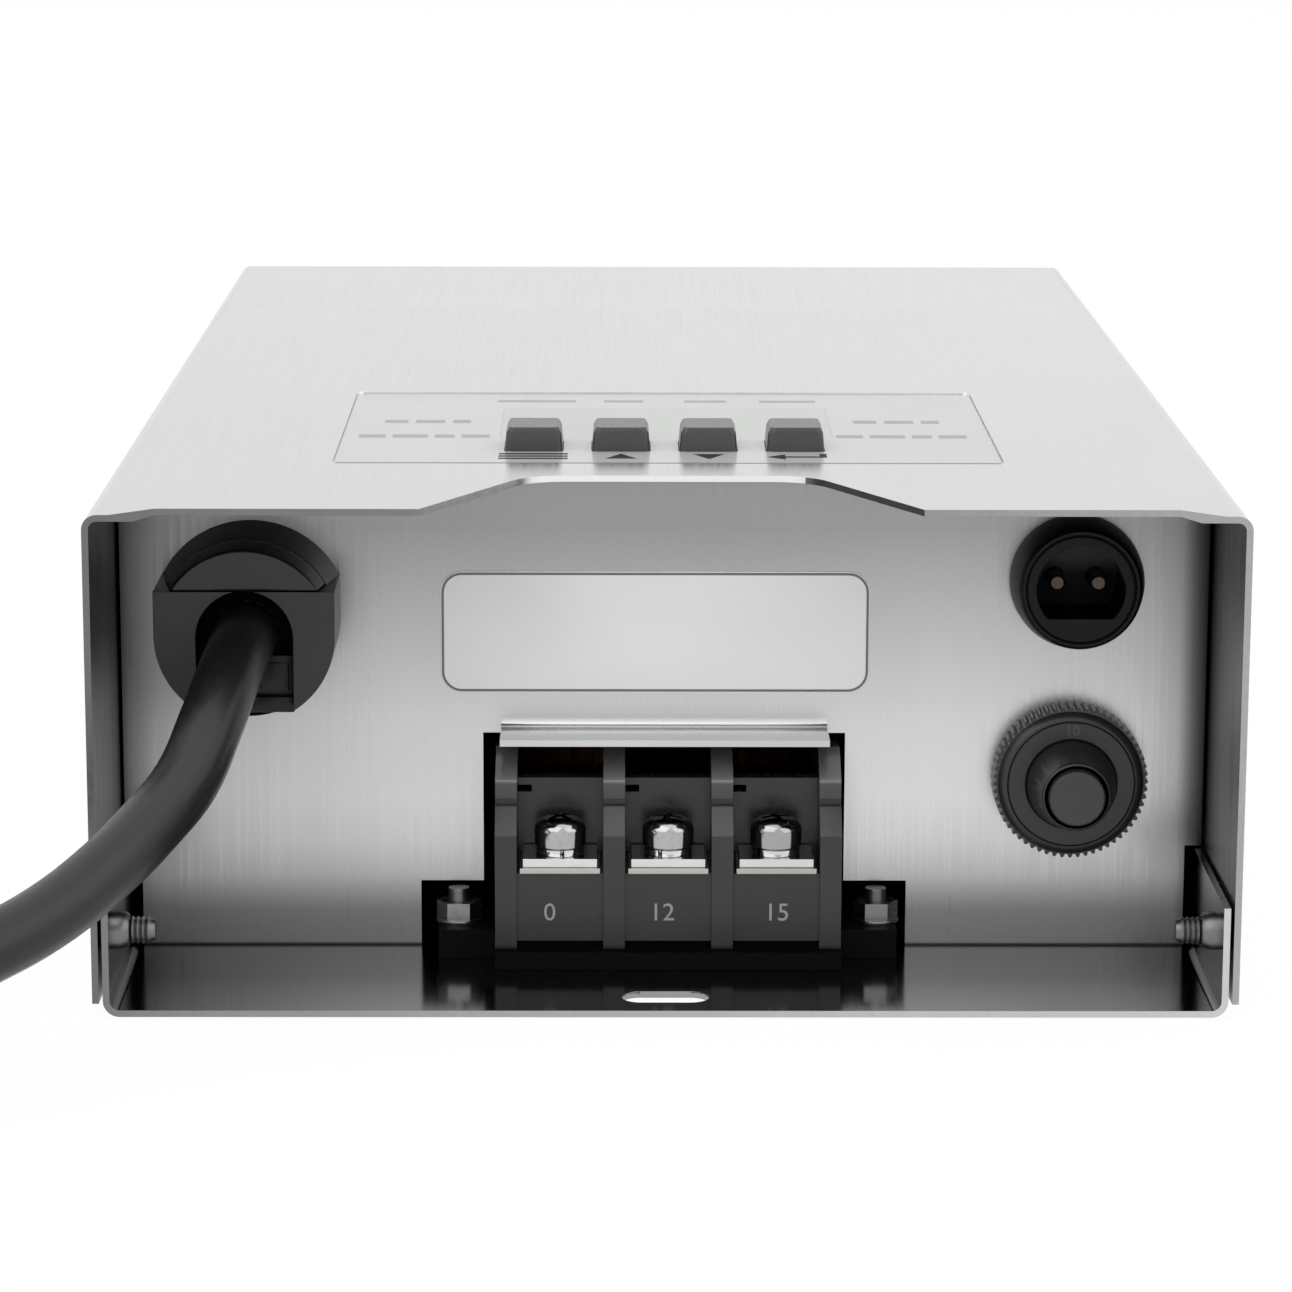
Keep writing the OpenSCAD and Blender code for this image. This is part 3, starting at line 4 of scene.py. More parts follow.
import bmesh
import bpy
from mathutils import Matrix, Vector

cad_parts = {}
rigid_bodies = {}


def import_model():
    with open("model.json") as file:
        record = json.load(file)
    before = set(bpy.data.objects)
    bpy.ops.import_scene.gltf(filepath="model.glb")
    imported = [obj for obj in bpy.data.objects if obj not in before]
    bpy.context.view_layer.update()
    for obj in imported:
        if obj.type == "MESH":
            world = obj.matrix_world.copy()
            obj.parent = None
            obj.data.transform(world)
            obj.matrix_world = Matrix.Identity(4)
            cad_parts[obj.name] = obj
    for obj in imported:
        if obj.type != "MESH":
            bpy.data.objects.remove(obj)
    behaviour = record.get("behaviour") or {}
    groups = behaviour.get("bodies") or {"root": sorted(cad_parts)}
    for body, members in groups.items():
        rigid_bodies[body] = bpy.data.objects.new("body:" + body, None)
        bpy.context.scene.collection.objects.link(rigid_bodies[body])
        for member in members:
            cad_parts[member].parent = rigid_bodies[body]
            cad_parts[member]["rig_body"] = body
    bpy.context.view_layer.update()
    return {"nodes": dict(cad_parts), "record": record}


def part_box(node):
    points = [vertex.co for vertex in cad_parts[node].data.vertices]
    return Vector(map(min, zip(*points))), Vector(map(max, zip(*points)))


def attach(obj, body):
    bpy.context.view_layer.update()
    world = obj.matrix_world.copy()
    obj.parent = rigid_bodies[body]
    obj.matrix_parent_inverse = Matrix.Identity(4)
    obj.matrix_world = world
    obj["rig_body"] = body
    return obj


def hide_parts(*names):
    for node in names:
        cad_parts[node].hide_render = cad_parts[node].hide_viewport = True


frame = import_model()
nodes = frame["nodes"]
slot_of = {part["node"]: part["material_slot"] for part in frame["record"]["subparts"]}
scene = bpy.context.scene
scene.view_settings.view_transform = "Standard"
MM = 0.001                 # metres in a millimetre; lengths below are in millimetres


# Camera, fitted to the photograph
CAMERA_PLACE = (-7.2, -699.7, 172.1)
PITCH = math.radians(12.041)
YAW = math.radians(-0.442)
ROLL = math.radians(-0.166)
FOCAL_SHARE = 3.4670       # focal length over the frame's width
SENSOR = 36


def make_camera():
    data = bpy.data.cameras.new("camera")
    data.sensor_fit = "HORIZONTAL"
    data.sensor_width = SENSOR
    data.lens = SENSOR * FOCAL_SHARE
    data.clip_start = 0.01
    cam = bpy.data.objects.new("camera", data)
    scene.collection.objects.link(cam)
    right = Vector((math.cos(YAW), math.sin(YAW), 0))
    level = Vector((-math.sin(YAW), math.cos(YAW), 0))
    forward = level * math.cos(PITCH) - Vector((0, 0, math.sin(PITCH)))
    up = level * math.sin(PITCH) + Vector((0, 0, math.cos(PITCH)))
    x = right * math.cos(ROLL) - up * math.sin(ROLL)
    y = right * math.sin(ROLL) + up * math.cos(ROLL)
    turn = Matrix((x, y, -forward)).transposed().to_4x4()
    cam.matrix_world = Matrix.Translation(Vector(CAMERA_PLACE) * MM) @ turn
    scene.camera = cam


make_camera()


# Places that the pieces share, in millimetres
def low_corner(node):
    return Vector(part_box(node)[0]) / MM


def high_corner(node):
    return Vector(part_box(node)[1]) / MM


def middle(node):
    return (low_corner(node) + high_corner(node)) / 2


FRONT = low_corner("front_cover").y        # open end of the cover
PANEL = FRONT + 32                         # outer face of the terminal panel
RELIEF = (-56.7, 47.6)                     # middle of the strain relief, x and z
SOCKET = Vector((56.5, -104, 52.9))        # middle of the socket's front face
BREAKER = Vector((55.9, -97, 25.3))        # middle of the breaker, on the panel


# Materials
class Tree:
    """A material's nodes, added and joined by name."""

    def __init__(self, name):
        self.mat = bpy.data.materials.new(name)
        self.mat.use_nodes = True
        self.tree = self.mat.node_tree
        self.tree.nodes.clear()
        self.out = self.add("ShaderNodeOutputMaterial")

    def add(self, kind, **values):
        node = self.tree.nodes.new(kind)
        for key, value in values.items():
            if hasattr(node, key):
                setattr(node, key, value)
            else:
                node.inputs[key.replace("_", " ")].default_value = value
        return node

    def join(self, a, b):
        self.tree.links.new(a, b)

    def feed(self, socket, value):
        """Sets a socket to a number or colour, or joins an output to it."""
        if isinstance(value, (tuple, list)):
            socket.default_value = tuple(value)[:3] + (1.0,)
        elif isinstance(value, (int, float)):
            socket.default_value = value
        else:
            self.join(value, socket)

    def coords(self, scale):
        place = self.add("ShaderNodeTexCoord")
        grow = self.add("ShaderNodeMapping")
        grow.inputs["Scale"].default_value = scale
        self.join(place.outputs["Object"], grow.inputs["Vector"])
        return grow.outputs["Vector"]

    def axis(self, letter):
        parts = self.add("ShaderNodeSeparateXYZ")
        self.join(self.coords((1, 1, 1)), parts.inputs[0])
        return parts.outputs[letter]

    def noise(self, scale, detail=4.0, rough=0.55):
        node = self.add("ShaderNodeTexNoise", Scale=1.0, Detail=detail, Roughness=rough)
        self.join(self.coords(scale), node.inputs["Vector"])
        return node.outputs["Fac"]

    def spread(self, value, low, high, start=0.3, end=0.7):
        node = self.add("ShaderNodeMapRange", From_Min=start, From_Max=end, To_Min=low, To_Max=high)
        self.join(value, node.inputs["Value"])
        return node.outputs["Result"]

    def steps(self, value, stops):
        """Number that follows straight stretches between (place in mm, number) stops."""
        first, last = stops[0][0] * MM, stops[-1][0] * MM
        node = self.add("ShaderNodeValToRGB")
        ramp = node.color_ramp
        ramp.elements.remove(ramp.elements[1])
        for number, (place, tone) in enumerate(stops):
            at = (place * MM - first) / (last - first)
            element = ramp.elements[0] if number == 0 else ramp.elements.new(at)
            element.position = at
            element.color = (tone, tone, tone, 1)
        self.join(self.spread(value, 0, 1, first, last), node.inputs[0])
        return node.outputs["Color"]

    def blend(self, factor, first, second, kind="MIX"):
        node = self.add("ShaderNodeMix", data_type="RGBA", blend_type=kind)
        for socket, value in ((node.inputs[0], factor), (node.inputs[6], first), (node.inputs[7], second)):
            self.feed(socket, value)
        return node.outputs[2]

    def toned(self, base, tones):
        """Colour times the painted light and shade along each named axis."""
        for letter, stops in tones:
            base = self.blend(1.0, base, self.steps(self.axis(letter), stops), "MULTIPLY")
        return base

    def math(self, kind, a, b):
        node = self.add("ShaderNodeMath", operation=kind)
        self.feed(node.inputs[0], a)
        self.feed(node.inputs[1], b)
        return node.outputs[0]

    def surface(self, color, rough, bump=None, distance=0.0, **values):
        shader = self.add("ShaderNodeBsdfPrincipled")
        self.join(color, shader.inputs["Base Color"])
        self.join(rough, shader.inputs["Roughness"])
        for key, value in values.items():
            shader.inputs[key.replace("_", " ")].default_value = value
        if bump is not None:
            node = self.add("ShaderNodeBump", Strength=1.0, Distance=distance)
            self.join(bump, node.inputs["Height"])
            self.join(node.outputs["Normal"], shader.inputs["Normal"])
        self.join(shader.outputs[0], self.out.inputs["Surface"])
        return self.mat


def shade(color, factor):
    return tuple(c * factor for c in color)


def grey(value):
    return (value, value, value)


def metal(name, color, rough, grain, vary, bump, cloud, tones=()):
    """Metal with a fine grain, faint clouding and, where given, painted light and shade along an axis.

    grain is the noise's scale on each axis, vary and cloud are shares of the
    colour, and bump is the grain's depth in metres.
    """
    t = Tree(name)
    lines = t.noise(grain, 6.0, 0.7)
    clouds = t.noise((25, 25, 25), 3.0)
    base = t.blend(t.spread(lines, 0, 1), shade(color, 1 - vary), shade(color, 1 + vary))
    base = t.blend(t.spread(clouds, 0, 1), base, shade(color, 1 - cloud))
    base = t.toned(base, tones)
    return t.surface(base, t.spread(lines, rough * 0.8, rough * 1.25), lines, bump, Metallic=1.0)


def plastic(name, color, rough, grain=2500, vary=0.12, bump=1.2e-5, tones=(), **values):
    """Moulded plastic or rubber with a fine texture and, where given, painted light and shade along an axis.
    """
    t = Tree(name)
    fine = t.noise((grain, grain, grain), 3.0)
    clouds = t.noise((60, 60, 60), 3.0)
    base = t.blend(t.spread(clouds, 0, 1), shade(color, 1 - vary), shade(color, 1 + vary))
    base = t.toned(base, tones)
    return t.surface(base, t.spread(fine, rough * 0.85, rough * 1.15), fine, bump, **values)


def film(name, color, rough, **values):
    """Thin printed film with a faint mottle."""
    t = Tree(name)
    fine = t.noise((4000, 4000, 4000), 2.0)
    clouds = t.noise((45, 45, 45), 2.0)
    base = t.blend(t.spread(clouds, 0, 1), shade(color, 0.97), shade(color, 1.03))
    return t.surface(base, t.spread(fine, rough * 0.9, rough * 1.1), fine, 2e-6, **values)


def wound(name, color, turns):
    """Enamelled wire laid side by side round a ring."""
    t = Tree(name)
    wave = t.noise((turns, turns, 8), 2.0)
    base = t.blend(t.spread(wave, 0, 1), shade(color, 0.7), shade(color, 1.2))
    return t.surface(base, t.spread(wave, 0.25, 0.4), wave, 2e-4, Metallic=0.6)


GROUND_GREY = 0.88
GROUND_GLOW = 1.02
GLOW_SHARE = 0.93          # the rest of the ground's look is its shadow


def floor_material():
    """White ground that keeps the object's shadow."""
    t = Tree("ground")
    ray = t.add("ShaderNodeLightPath")
    seen = t.math("MAXIMUM", ray.outputs["Is Camera Ray"], ray.outputs["Is Glossy Ray"])
    seen = t.math("MAXIMUM", seen, ray.outputs["Is Transmission Ray"])
    diffuse = t.add("ShaderNodeBsdfDiffuse", Color=grey(GROUND_GREY) + (1,))
    glow = t.add("ShaderNodeEmission", Color=(1, 1, 1, 1), Strength=GROUND_GLOW)
    mix = t.add("ShaderNodeMixShader")
    t.join(t.math("MULTIPLY", seen, GLOW_SHARE), mix.inputs[0])
    t.join(diffuse.outputs[0], mix.inputs[1])
    t.join(glow.outputs[0], mix.inputs[2])
    t.join(mix.outputs[0], t.out.inputs["Surface"])
    return t.mat


# Painted light and shade along an axis, in place of what the sheets would reflect, of shade inside the cover,
# at the panel's foot and in the socket's bore, and of light on the ribs' steps: (place, share of the base
# colour).
# The panel's two lists aren't set by hand: they follow the photo's brightness along the panel, which a
# scratch program sampled, and are thinned.
PANEL_UP = ((0.9, 0.04), (1.1, 0.08), (1.3, 0.42), (6, 0.45), (11, 0.82), (16, 0.95), (22, 1.0),
            (33, 0.93), (44, 0.74), (60, 0.48))
PANEL_ACROSS = ((-75, 0.15), (-73.6, 0.45), (-70, 0.70), (-36, 0.94), (37, 1.06), (71, 0.93),
                (73, 0.33), (74.6, 0.08))
WALL_BACK = ((-129, 1.35), (-112, 1.0), (-101, 0.55), (-97, 0.4))
WALL_UP = ((5, 1.0), (25, 0.80), (45, 0.64), (66, 0.48))
LID_ACROSS = ((-76, 0.98), (76, 1.03))
EDGE_ACROSS = ((-76, 0.45), (0, 0.62), (76, 1.0))
RIM_ACROSS = ((-76, 0.4), (-70, 0.5), (0, 0.9), (76, 1.2))
RIB_UP = ((4, 1.0), (19.2, 1.05), (19.5, 2.4), (22.5, 2.0), (22.9, 0.4), (23.5, 0.5), (23.9, 1.9),
          (25.8, 2.6), (26.2, 9.0), (26.7, 6.5), (29.6, 5.0))
TRAY_BACK = ((-129, 1.0), (-118, 1.12), (-97, 1.02))
SOCKET_UP = ((51.4, 0.1), (53.2, 0.4), (55.5, 6.0))

M = {
    # Cover steel with a faint painted light across the lid.
    "cover": metal("cover_steel", grey(0.585), 0.20, (1800, 25, 1800), 0.03, 1.5e-6, 0.03,
                   [("X", LID_ACROSS)]),
    # Darker copy of the cover's steel inside it: painted shade, deeper further in and higher up the walls.
    "cover_in": metal("cover_inside_painted_shade", grey(0.15), 0.34, (900, 900, 25), 0.04, 1e-6, 0.05,
                      [("Y", WALL_BACK), ("Z", WALL_UP)]),
    # Cut front edge, with painted light rising from left to right.
    "cut": metal("cut_steel", grey(0.42), 0.35, (900, 900, 900), 0.10, 4e-6, 0.1, [("X", EDGE_ACROSS)]),
    # Copies of the cut steel: a painted highlight on bright edges, and painted shade on one slope of the
    # notch.
    "cut_painted_highlight": metal("painted_highlight_edge", grey(0.86), 0.32, (900, 900, 900), 0.05, 2e-6, 0.05),
    "cut_painted_shade": metal("shaded_edge", grey(0.17), 0.35, (900, 900, 900), 0.10, 4e-6, 0.1),
    # Tray steel with a painted reflection along it; its edges are a lighter copy with painted light rising
    # from left to right.
    "tray": metal("tray_steel", grey(0.30), 0.13, (700, 30, 700), 0.06, 1.5e-6, 0.08, [("Y", TRAY_BACK)]),
    "tray_edge_painted_light": metal("tray_edge_painted_light", grey(0.52), 0.25, (700, 700, 700), 0.08, 2e-6, 0.08, [("X", RIM_ACROSS)]),
    # Panel steel with painted reflections up and across it and a painted shadow line at its foot.
    "panel": metal("panel_steel", grey(0.675), 0.30, (2200, 60, 30), 0.03, 1.5e-6, 0.05,
                   [("Z", PANEL_UP), ("X", PANEL_ACROSS)]),
    # Lighter, glossier copy for the lip's top face: painted light.
    "lip_top_painted_light": metal("lip_top_painted_light", grey(0.66), 0.16, (60, 900, 900), 0.04, 2e-6, 0.05),
    "lip": metal("lip_steel", grey(0.62), 0.25, (60, 900, 900), 0.08, 3e-6, 0.1),
    "zinc": metal("zinc_plate", grey(0.34), 0.28, (700, 700, 700), 0.15, 1e-5, 0.2),
    "dull": metal("dull_zinc", grey(0.22), 0.35, (700, 700, 700), 0.2, 2e-5, 0.25),
    "screw": metal("polished_screw", grey(0.50), 0.12, (900, 900, 900), 0.2, 1.2e-5, 0.3),
    "bright": metal("nickel_plate", grey(0.72), 0.12, (500, 900, 900), 0.12, 6e-6, 0.12),
    "tinned": metal("tinned_brass", (0.52, 0.51, 0.48), 0.3, (300, 900, 900), 0.12, 8e-6, 0.15),
    "brass": metal("brass_plate", (0.62, 0.47, 0.22), 0.25, (400, 400, 400), 0.12, 5e-6, 0.15),
    # Socket pins in a dark brownish metal, far darker than bare brass.
    "pin": metal("dark_brown_pin", (0.08, 0.062, 0.05), 0.3, (400, 400, 400), 0.3, 2e-5, 0.3),
    "core": metal("core_steel", grey(0.18), 0.4, (60, 60, 4000), 0.3, 2e-5, 0.1),
    "block": plastic("block_plastic", grey(0.024), 0.26),
    # Rib faces with painted light on their sloped steps and painted shade in their groove.
    "rib": plastic("rib_plastic_painted_light", grey(0.026), 0.22, tones=[("Z", RIB_UP)]),
    "block_base": plastic("block_foot", grey(0.003), 0.45, Specular_IOR_Level=0.06),
    "ring": plastic("socket_ring", grey(0.004), 0.40, Specular_IOR_Level=0.18),
    "black": plastic("black_plastic", grey(0.006), 0.34, Specular_IOR_Level=0.3),
    "deep": plastic("deep_shade", grey(0.0015), 0.7, Specular_IOR_Level=0.05),
    # Socket bore with painted shade low in it and painted light higher up.
    "socket_in": plastic("socket_inside_painted_shade", grey(0.012), 0.5, tones=[("Z", SOCKET_UP)], Specular_IOR_Level=0.1),
    "relief": plastic("relief_plastic", grey(0.013), 0.32),
    "nut": plastic("nut_plastic", grey(0.022), 0.32),
    "button": plastic("button_plastic", grey(0.040), 0.42),
    "key": plastic("key_rubber", grey(0.052), 0.30, 1800, 0.06, 6e-6),
    "switch": plastic("switch_plastic", grey(0.02), 0.4),
    "cord": plastic("cord_jacket", grey(0.009), 0.33, 1200, 0.2, 2e-5),
    "plug": plastic("plug_rubber", grey(0.014), 0.5, 1500, 0.2, 3e-5),
    "strap": plastic("strap_fabric", grey(0.02), 0.9, 3200, 0.4, 1.5e-4),
    "pad": plastic("pad_rubber", grey(0.015), 0.75, 800, 0.3, 6e-5),
    "board": plastic("board_mask", (0.012, 0.09, 0.04), 0.3, 700, 0.2, 1e-5),
    "relay": plastic("relay_case", (0.02, 0.07, 0.20), 0.3),
    "cap": plastic("cap_sleeve", (0.01, 0.012, 0.05), 0.25),
    "label": film("label_film", grey(0.88), 0.55, Specular_IOR_Level=0.25),
    # Dark film for the label's printed border, and for a painted shadow line in front of the keypad film.
    "label_rim": film("label_rim", grey(0.16), 0.5),
    "overlay": film("overlay_film", grey(0.53), 0.24),
    "window": film("window_film", (0.43, 0.45, 0.43), 0.12),
    "lcd": film("lcd_face", (0.50, 0.52, 0.50), 0.25),
    "mark_dark": film("dark_print", grey(0.03), 0.5, Specular_IOR_Level=0.1),
    "mark_faint": film("faint_print", grey(0.42), 0.5, Specular_IOR_Level=0.1),
    # Lighter colour for the breaker nut's figures: a painted highlight on figures that are raised in the
    # moulding.
    "mark_dim": film("painted_highlight_figures", grey(0.09), 0.5),
    "mark_light": film("light_print", grey(0.36), 0.5),
    "white_wire": plastic("white_wire", grey(0.62), 0.4, 1500),
    "black_wire": plastic("black_wire", grey(0.015), 0.4, 1500),
    "grey_wire": plastic("grey_wire", grey(0.25), 0.4, 1500),
    "winding": wound("copper_winding", (0.50, 0.20, 0.07), 700),
}


# Mesh helpers
def linked(name, mesh):
    """Object in the scene for a mesh, a curve or a lamp."""
    piece = bpy.data.objects.new(name, mesh)
    scene.collection.objects.link(piece)
    return piece


def finish_piece(name, mesh, material, body, slot, cad=()):
    """Links a mesh as a piece that rides on a body and may stand for CAD nodes."""
    piece = linked(name, mesh)
    if not mesh.materials:
        mesh.materials.append(M[material])
    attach(piece, body)
    if cad:
        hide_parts(*cad)
    return piece


def smooth_mesh(mesh, angle):
    """Shades a mesh smooth but for edges sharper than the angle, in degrees."""
    for face in mesh.polygons:
        face.use_smooth = True
    mesh.set_sharp_from_angle(angle=math.radians(angle))


def evaluated(holder):
    """Mesh of an object with its modifiers applied; the object goes."""
    done = bpy.data.meshes.new_from_object(holder.evaluated_get(bpy.context.evaluated_depsgraph_get()))
    bpy.data.objects.remove(holder)
    return done


def to_mesh(bm, name, angle=38):
    """Mesh in metres from a bmesh in millimetres."""
    bmesh.ops.scale(bm, vec=(MM, MM, MM), verts=bm.verts)
    bmesh.ops.recalc_face_normals(bm, faces=bm.faces)
    mesh = bpy.data.meshes.new(name)
    bm.to_mesh(mesh)
    bm.free()
    smooth_mesh(mesh, angle)
    return mesh


def bevelled(bm, width, name):
    """Mesh with every edge of 30 degrees or more rounded by width."""
    mesh = bpy.data.meshes.new(name)
    bm.normal_update()
    bm.to_mesh(mesh)
    bm.free()
    holder = linked("holder", mesh)
    mod = holder.modifiers.new("edges", "BEVEL")
    mod.width = width * MM
    mod.segments = 2
    mod.limit_method = "ANGLE"
    mod.angle_limit = math.radians(30)
    mod.use_clamp_overlap = True
    mod.miter_outer = "MITER_ARC"
    done = evaluated(holder)
    smooth_mesh(done, 50)
    return done


def cut_away(mesh, cutter):
    """Mesh less the space of another mesh."""
    holder, tool = linked("holder", mesh), linked("tool", cutter)
    mod = holder.modifiers.new("cut", "BOOLEAN")
    mod.operation = "DIFFERENCE"
    mod.solver = "EXACT"
    mod.object = tool
    done = evaluated(holder)
    bpy.data.objects.remove(tool)
    smooth_mesh(done, 38)
    return done


def cad_mesh(node):
    """A node's solid with its flat faces joined."""
    bm = bmesh.new()
    bm.from_mesh(nodes[node].data)
    bmesh.ops.remove_doubles(bm, verts=bm.verts, dist=2e-6)
    bmesh.ops.dissolve_limit(bm, angle_limit=math.radians(0.4), verts=bm.verts, edges=bm.edges,
                             use_dissolve_boundaries=False)
    return bm


def weighted(piece):
    """A piece whose flat faces keep flat shading beside their rounded edges."""
    mod = piece.modifiers.new("normals", "WEIGHTED_NORMAL")
    mod.keep_sharp = True
    return piece


def face_materials(mesh, names, pick):
    """Gives each face the material that pick numbers from its place and its normal."""
    mesh.materials.clear()
    for name in names:
        mesh.materials.append(M[name])
    for face in mesh.polygons:
        face.material_index = pick(Vector(face.center) / MM, face.normal)


def dress(node, materials, width, pick=None):
    """A bevelled piece in place of a CAD node, with the node's own body."""
    mesh = bevelled(cad_mesh(node), width, node + "_shape")
    face_materials(mesh, materials, pick or (lambda c, n: 0))
    body = nodes[node]["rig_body"]
    return weighted(finish_piece(node + "_piece", mesh, materials[0], body, slot_of[node], (node,)))


def lathe(bm, profile, origin, axis, segments=48):
    """Turns (radius, distance along the axis) points round the axis."""
    axis = Vector(axis).normalized()
    side = axis.orthogonal().normalized()
    other = axis.cross(side)
    origin = Vector(origin)
    rings = []
    for radius, along in profile:
        count = segments if radius > 0 else 1
        ring = []
        for k in range(count):
            a = 2 * math.pi * k / segments
            out = side * math.cos(a) + other * math.sin(a)
            ring.append(bm.verts.new(origin + axis * along + out * radius))
        rings.append(ring)
    for low, high in zip(rings, rings[1:]):
        for k in range(segments):
            n = (k + 1) % segments
            quad = [low[k % len(low)], low[n % len(low)], high[n % len(high)], high[k % len(high)]]
            corners = list(dict.fromkeys(quad))
            if len(corners) > 2:
                bm.faces.new(corners)
    return rings


def closed_lathe(bm, profile, origin, axis, segments=48):
    """As lathe, for a ring whose profile comes back to its start."""
    rings = lathe(bm, profile, origin, axis, segments)
    last, first = rings[-1], rings[0]
    for k in range(segments):
        n = (k + 1) % segments
        bm.faces.new((last[k], last[n], first[n], first[k]))


def close_rings(bm, rings):
    """Joins each ring of points to the next, and the last to the first."""
    for a, b in zip(rings, rings[1:] + rings[:1]):
        for k in range(len(a)):
            n = (k + 1) % len(a)
            bm.faces.new((a[k], a[n], b[n], b[k]))


def rounded_box(bm, low, high, radius):
    """Box between two corners with rounded edges."""
    low, high = Vector(low), Vector(high)
    made = bmesh.ops.create_cube(bm, size=1.0)["verts"]
    bmesh.ops.scale(bm, vec=high - low, verts=made)
    bmesh.ops.translate(bm, vec=(low + high) / 2, verts=made)
    edges = list(dict.fromkeys(e for v in made for e in v.link_edges))
    bmesh.ops.bevel(bm, geom=edges, offset=radius, segments=2, profile=0.5, affect="EDGES")


def prism(bm, outline, start, end):
    """Solid between two copies of an outline, each a function of its flat points."""
    low = [bm.verts.new(start(x, y)) for x, y in outline]
    high = [bm.verts.new(end(x, y)) for x, y in outline]
    bm.faces.new(list(reversed(low)))
    bm.faces.new(high)
    count = len(outline)
    for k in range(count):
        n = (k + 1) % count
        bm.faces.new((low[k], low[n], high[n], high[k]))


FIGURE_DEPTH = 0.02


def figures(text, size, place, turn, name, material, slot):
    """Flat figures on a face."""
    data = bpy.data.curves.new(name, "FONT")
    data.body = text
    data.size = size * MM
    data.align_x = "CENTER"
    data.align_y = "CENTER"
    data.extrude = FIGURE_DEPTH * MM
    data.resolution_u = 4
    holder = linked(name + "_text", data)
    bpy.context.view_layer.update()
    mesh = evaluated(holder)
    mesh.transform(Matrix.Translation(Vector(place) * MM) @ turn)
    mesh.materials.clear()
    return finish_piece(name, mesh, material, "housing", slot)


def tube_curve(name, points, radius, material):
    """Round cord through the points."""
    data = bpy.data.curves.new(name, "CURVE")
    data.dimensions = "3D"
    data.bevel_depth = radius * MM
    data.bevel_resolution = 5
    data.resolution_u = 5
    data.use_fill_caps = True
    spline = data.splines.new("BEZIER")
    spline.bezier_points.add(len(points) - 1)
    for point, place in zip(spline.bezier_points, points):
        point.co = Vector(place) * MM
        point.handle_left_type = point.handle_right_type = "AUTO"
    data.materials.append(M[material])
    return linked(name, data)


def round_outline(w, h, r, center=(0, 0), steps=6):
    """Points round a rectangle with rounded corners."""
    points = []
    for x, y, start in ((1, 1, 0), (-1, 1, 90), (-1, -1, 180), (1, -1, 270)):
        for k in range(steps + 1):
            a = math.radians(start + 90 * k / steps)
            points.append((center[0] + x * (w / 2 - r) + r * math.cos(a),
                           center[1] + y * (h / 2 - r) + r * math.sin(a)))
    return points


def upright(bm, outline, low, high):
    """Solid with an outline in X and Y between two heights."""
    prism(bm, outline, lambda x, y: Vector((x, y, low)), lambda x, y: Vector((x, y, high)))


def box_outline(x0, y0, x1, y1):
    return [(x0, y0), (x1, y0), (x1, y1), (x0, y1)]


# Power cord: out of the relief, down to the ground, round a coil of two layers, to the plug
THROAT = PANEL - 7.9       # where the drawn cord starts, inside the relief
CORD_Z = RELIEF[1] - 0.4
CORD_R = 4.3
COIL_C = (RELIEF[0] - 95.3, FRONT - 1)
COIL_R = 57.0              # outermost turn
STEP = 9.3                 # between turns, and between layers
LOW_TURNS = 2.0            # inwards on the ground
BACK_TURNS = 0.5           # climbing to the second layer
HIGH_TURNS = 1.75          # outwards on top
END_TURNS = 0.25           # of these, the part that leaves the coil
END_OUT = 2.4
END_UP = 0.3
POINTS_A_TURN = 24
STRAIGHT = 9               # before the first turn and after the last
STRAP = 0.35               # room for the tie between the cord and the ground
COIL_Z = 0.65 + STRAP + CORD_R
LOW_R = COIL_R - STEP * LOW_TURNS
HIGH_START = LOW_TURNS + BACK_TURNS
TURNS = HIGH_START + HIGH_TURNS
CORD_ROUTE = [             # x from the relief, y from the cover's front, z
    (-1, 4.5, 45), (-2.5, -4.5, 41), (-5, -13, 35.5), (-9, -21, 31.5),
    (-14, -28.5, 27.5), (-20.5, -35.5, 23.5), (-28, -41.5, 20.5),
    (-36.5, -46.5, 17.5), (-46, -51, 14), (-57, -55, 10), (-68, -57.5, 7),
]


def smooth(s):
    """Eases from 0 to 1."""
    return s * s * (3 - 2 * s)


def coil_place(t):
    """Place on the coil after t turns."""
    end = smooth(max(0, (t - TURNS + END_TURNS) / END_TURNS))
    back = min(1, max(0, (t - LOW_TURNS) / BACK_TURNS))
    if t < LOW_TURNS:
        r = COIL_R - STEP * t
    elif t < HIGH_START:
        r = LOW_R - STEP * BACK_TURNS * back * (1 - back)
    else:
        r = LOW_R + STEP * (t - HIGH_START) + END_OUT * end
    a = math.radians(-90 - 360 * t)
    return Vector((COIL_C[0] + r * math.cos(a), COIL_C[1] + r * math.sin(a),
                   COIL_Z + STEP * smooth(back) + END_UP * end))


turn_points = [coil_place(k / POINTS_A_TURN) for k in range(round(TURNS * POINTS_A_TURN) + 1)]
coil_first = turn_points[0] + Vector((STRAIGHT, 0, 0))
plug_start = turn_points[-1] + Vector((0, STRAIGHT, 0))
cord_start = Vector((RELIEF[0], THROAT, CORD_Z))
cord_points = [cord_start, cord_start - Vector((0, 2 * CORD_R, 0))]
cord_points += [Vector((RELIEF[0] + x, FRONT + y, z)) for x, y, z in CORD_ROUTE]
cord_points += [coil_first + Vector((2 * CORD_R, 0, 0)), coil_first] + turn_points + [plug_start]
cord_length = sum((b - a).length for a, b in zip(cord_points, cord_points[1:])) * MM

cord = tube_curve("power_cord_jacket", cord_points, CORD_R, "cord")
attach(cord, "housing")
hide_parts("power_cord", "cord_coil")


PLUG_R = 14.2
PLUG_LENGTH = 56
FLAT_DEPTH = 1.6           # of the finger flats
FLAT_ENDS = (27, 48)       # distances along the plug
SLEEVE_RIBS = 5
SLEEVE_STEP = 3.8
BLADE_X = 6.35             # half the distance between the blades
BLADE_UP = 3
PIN_DOWN = 8.9


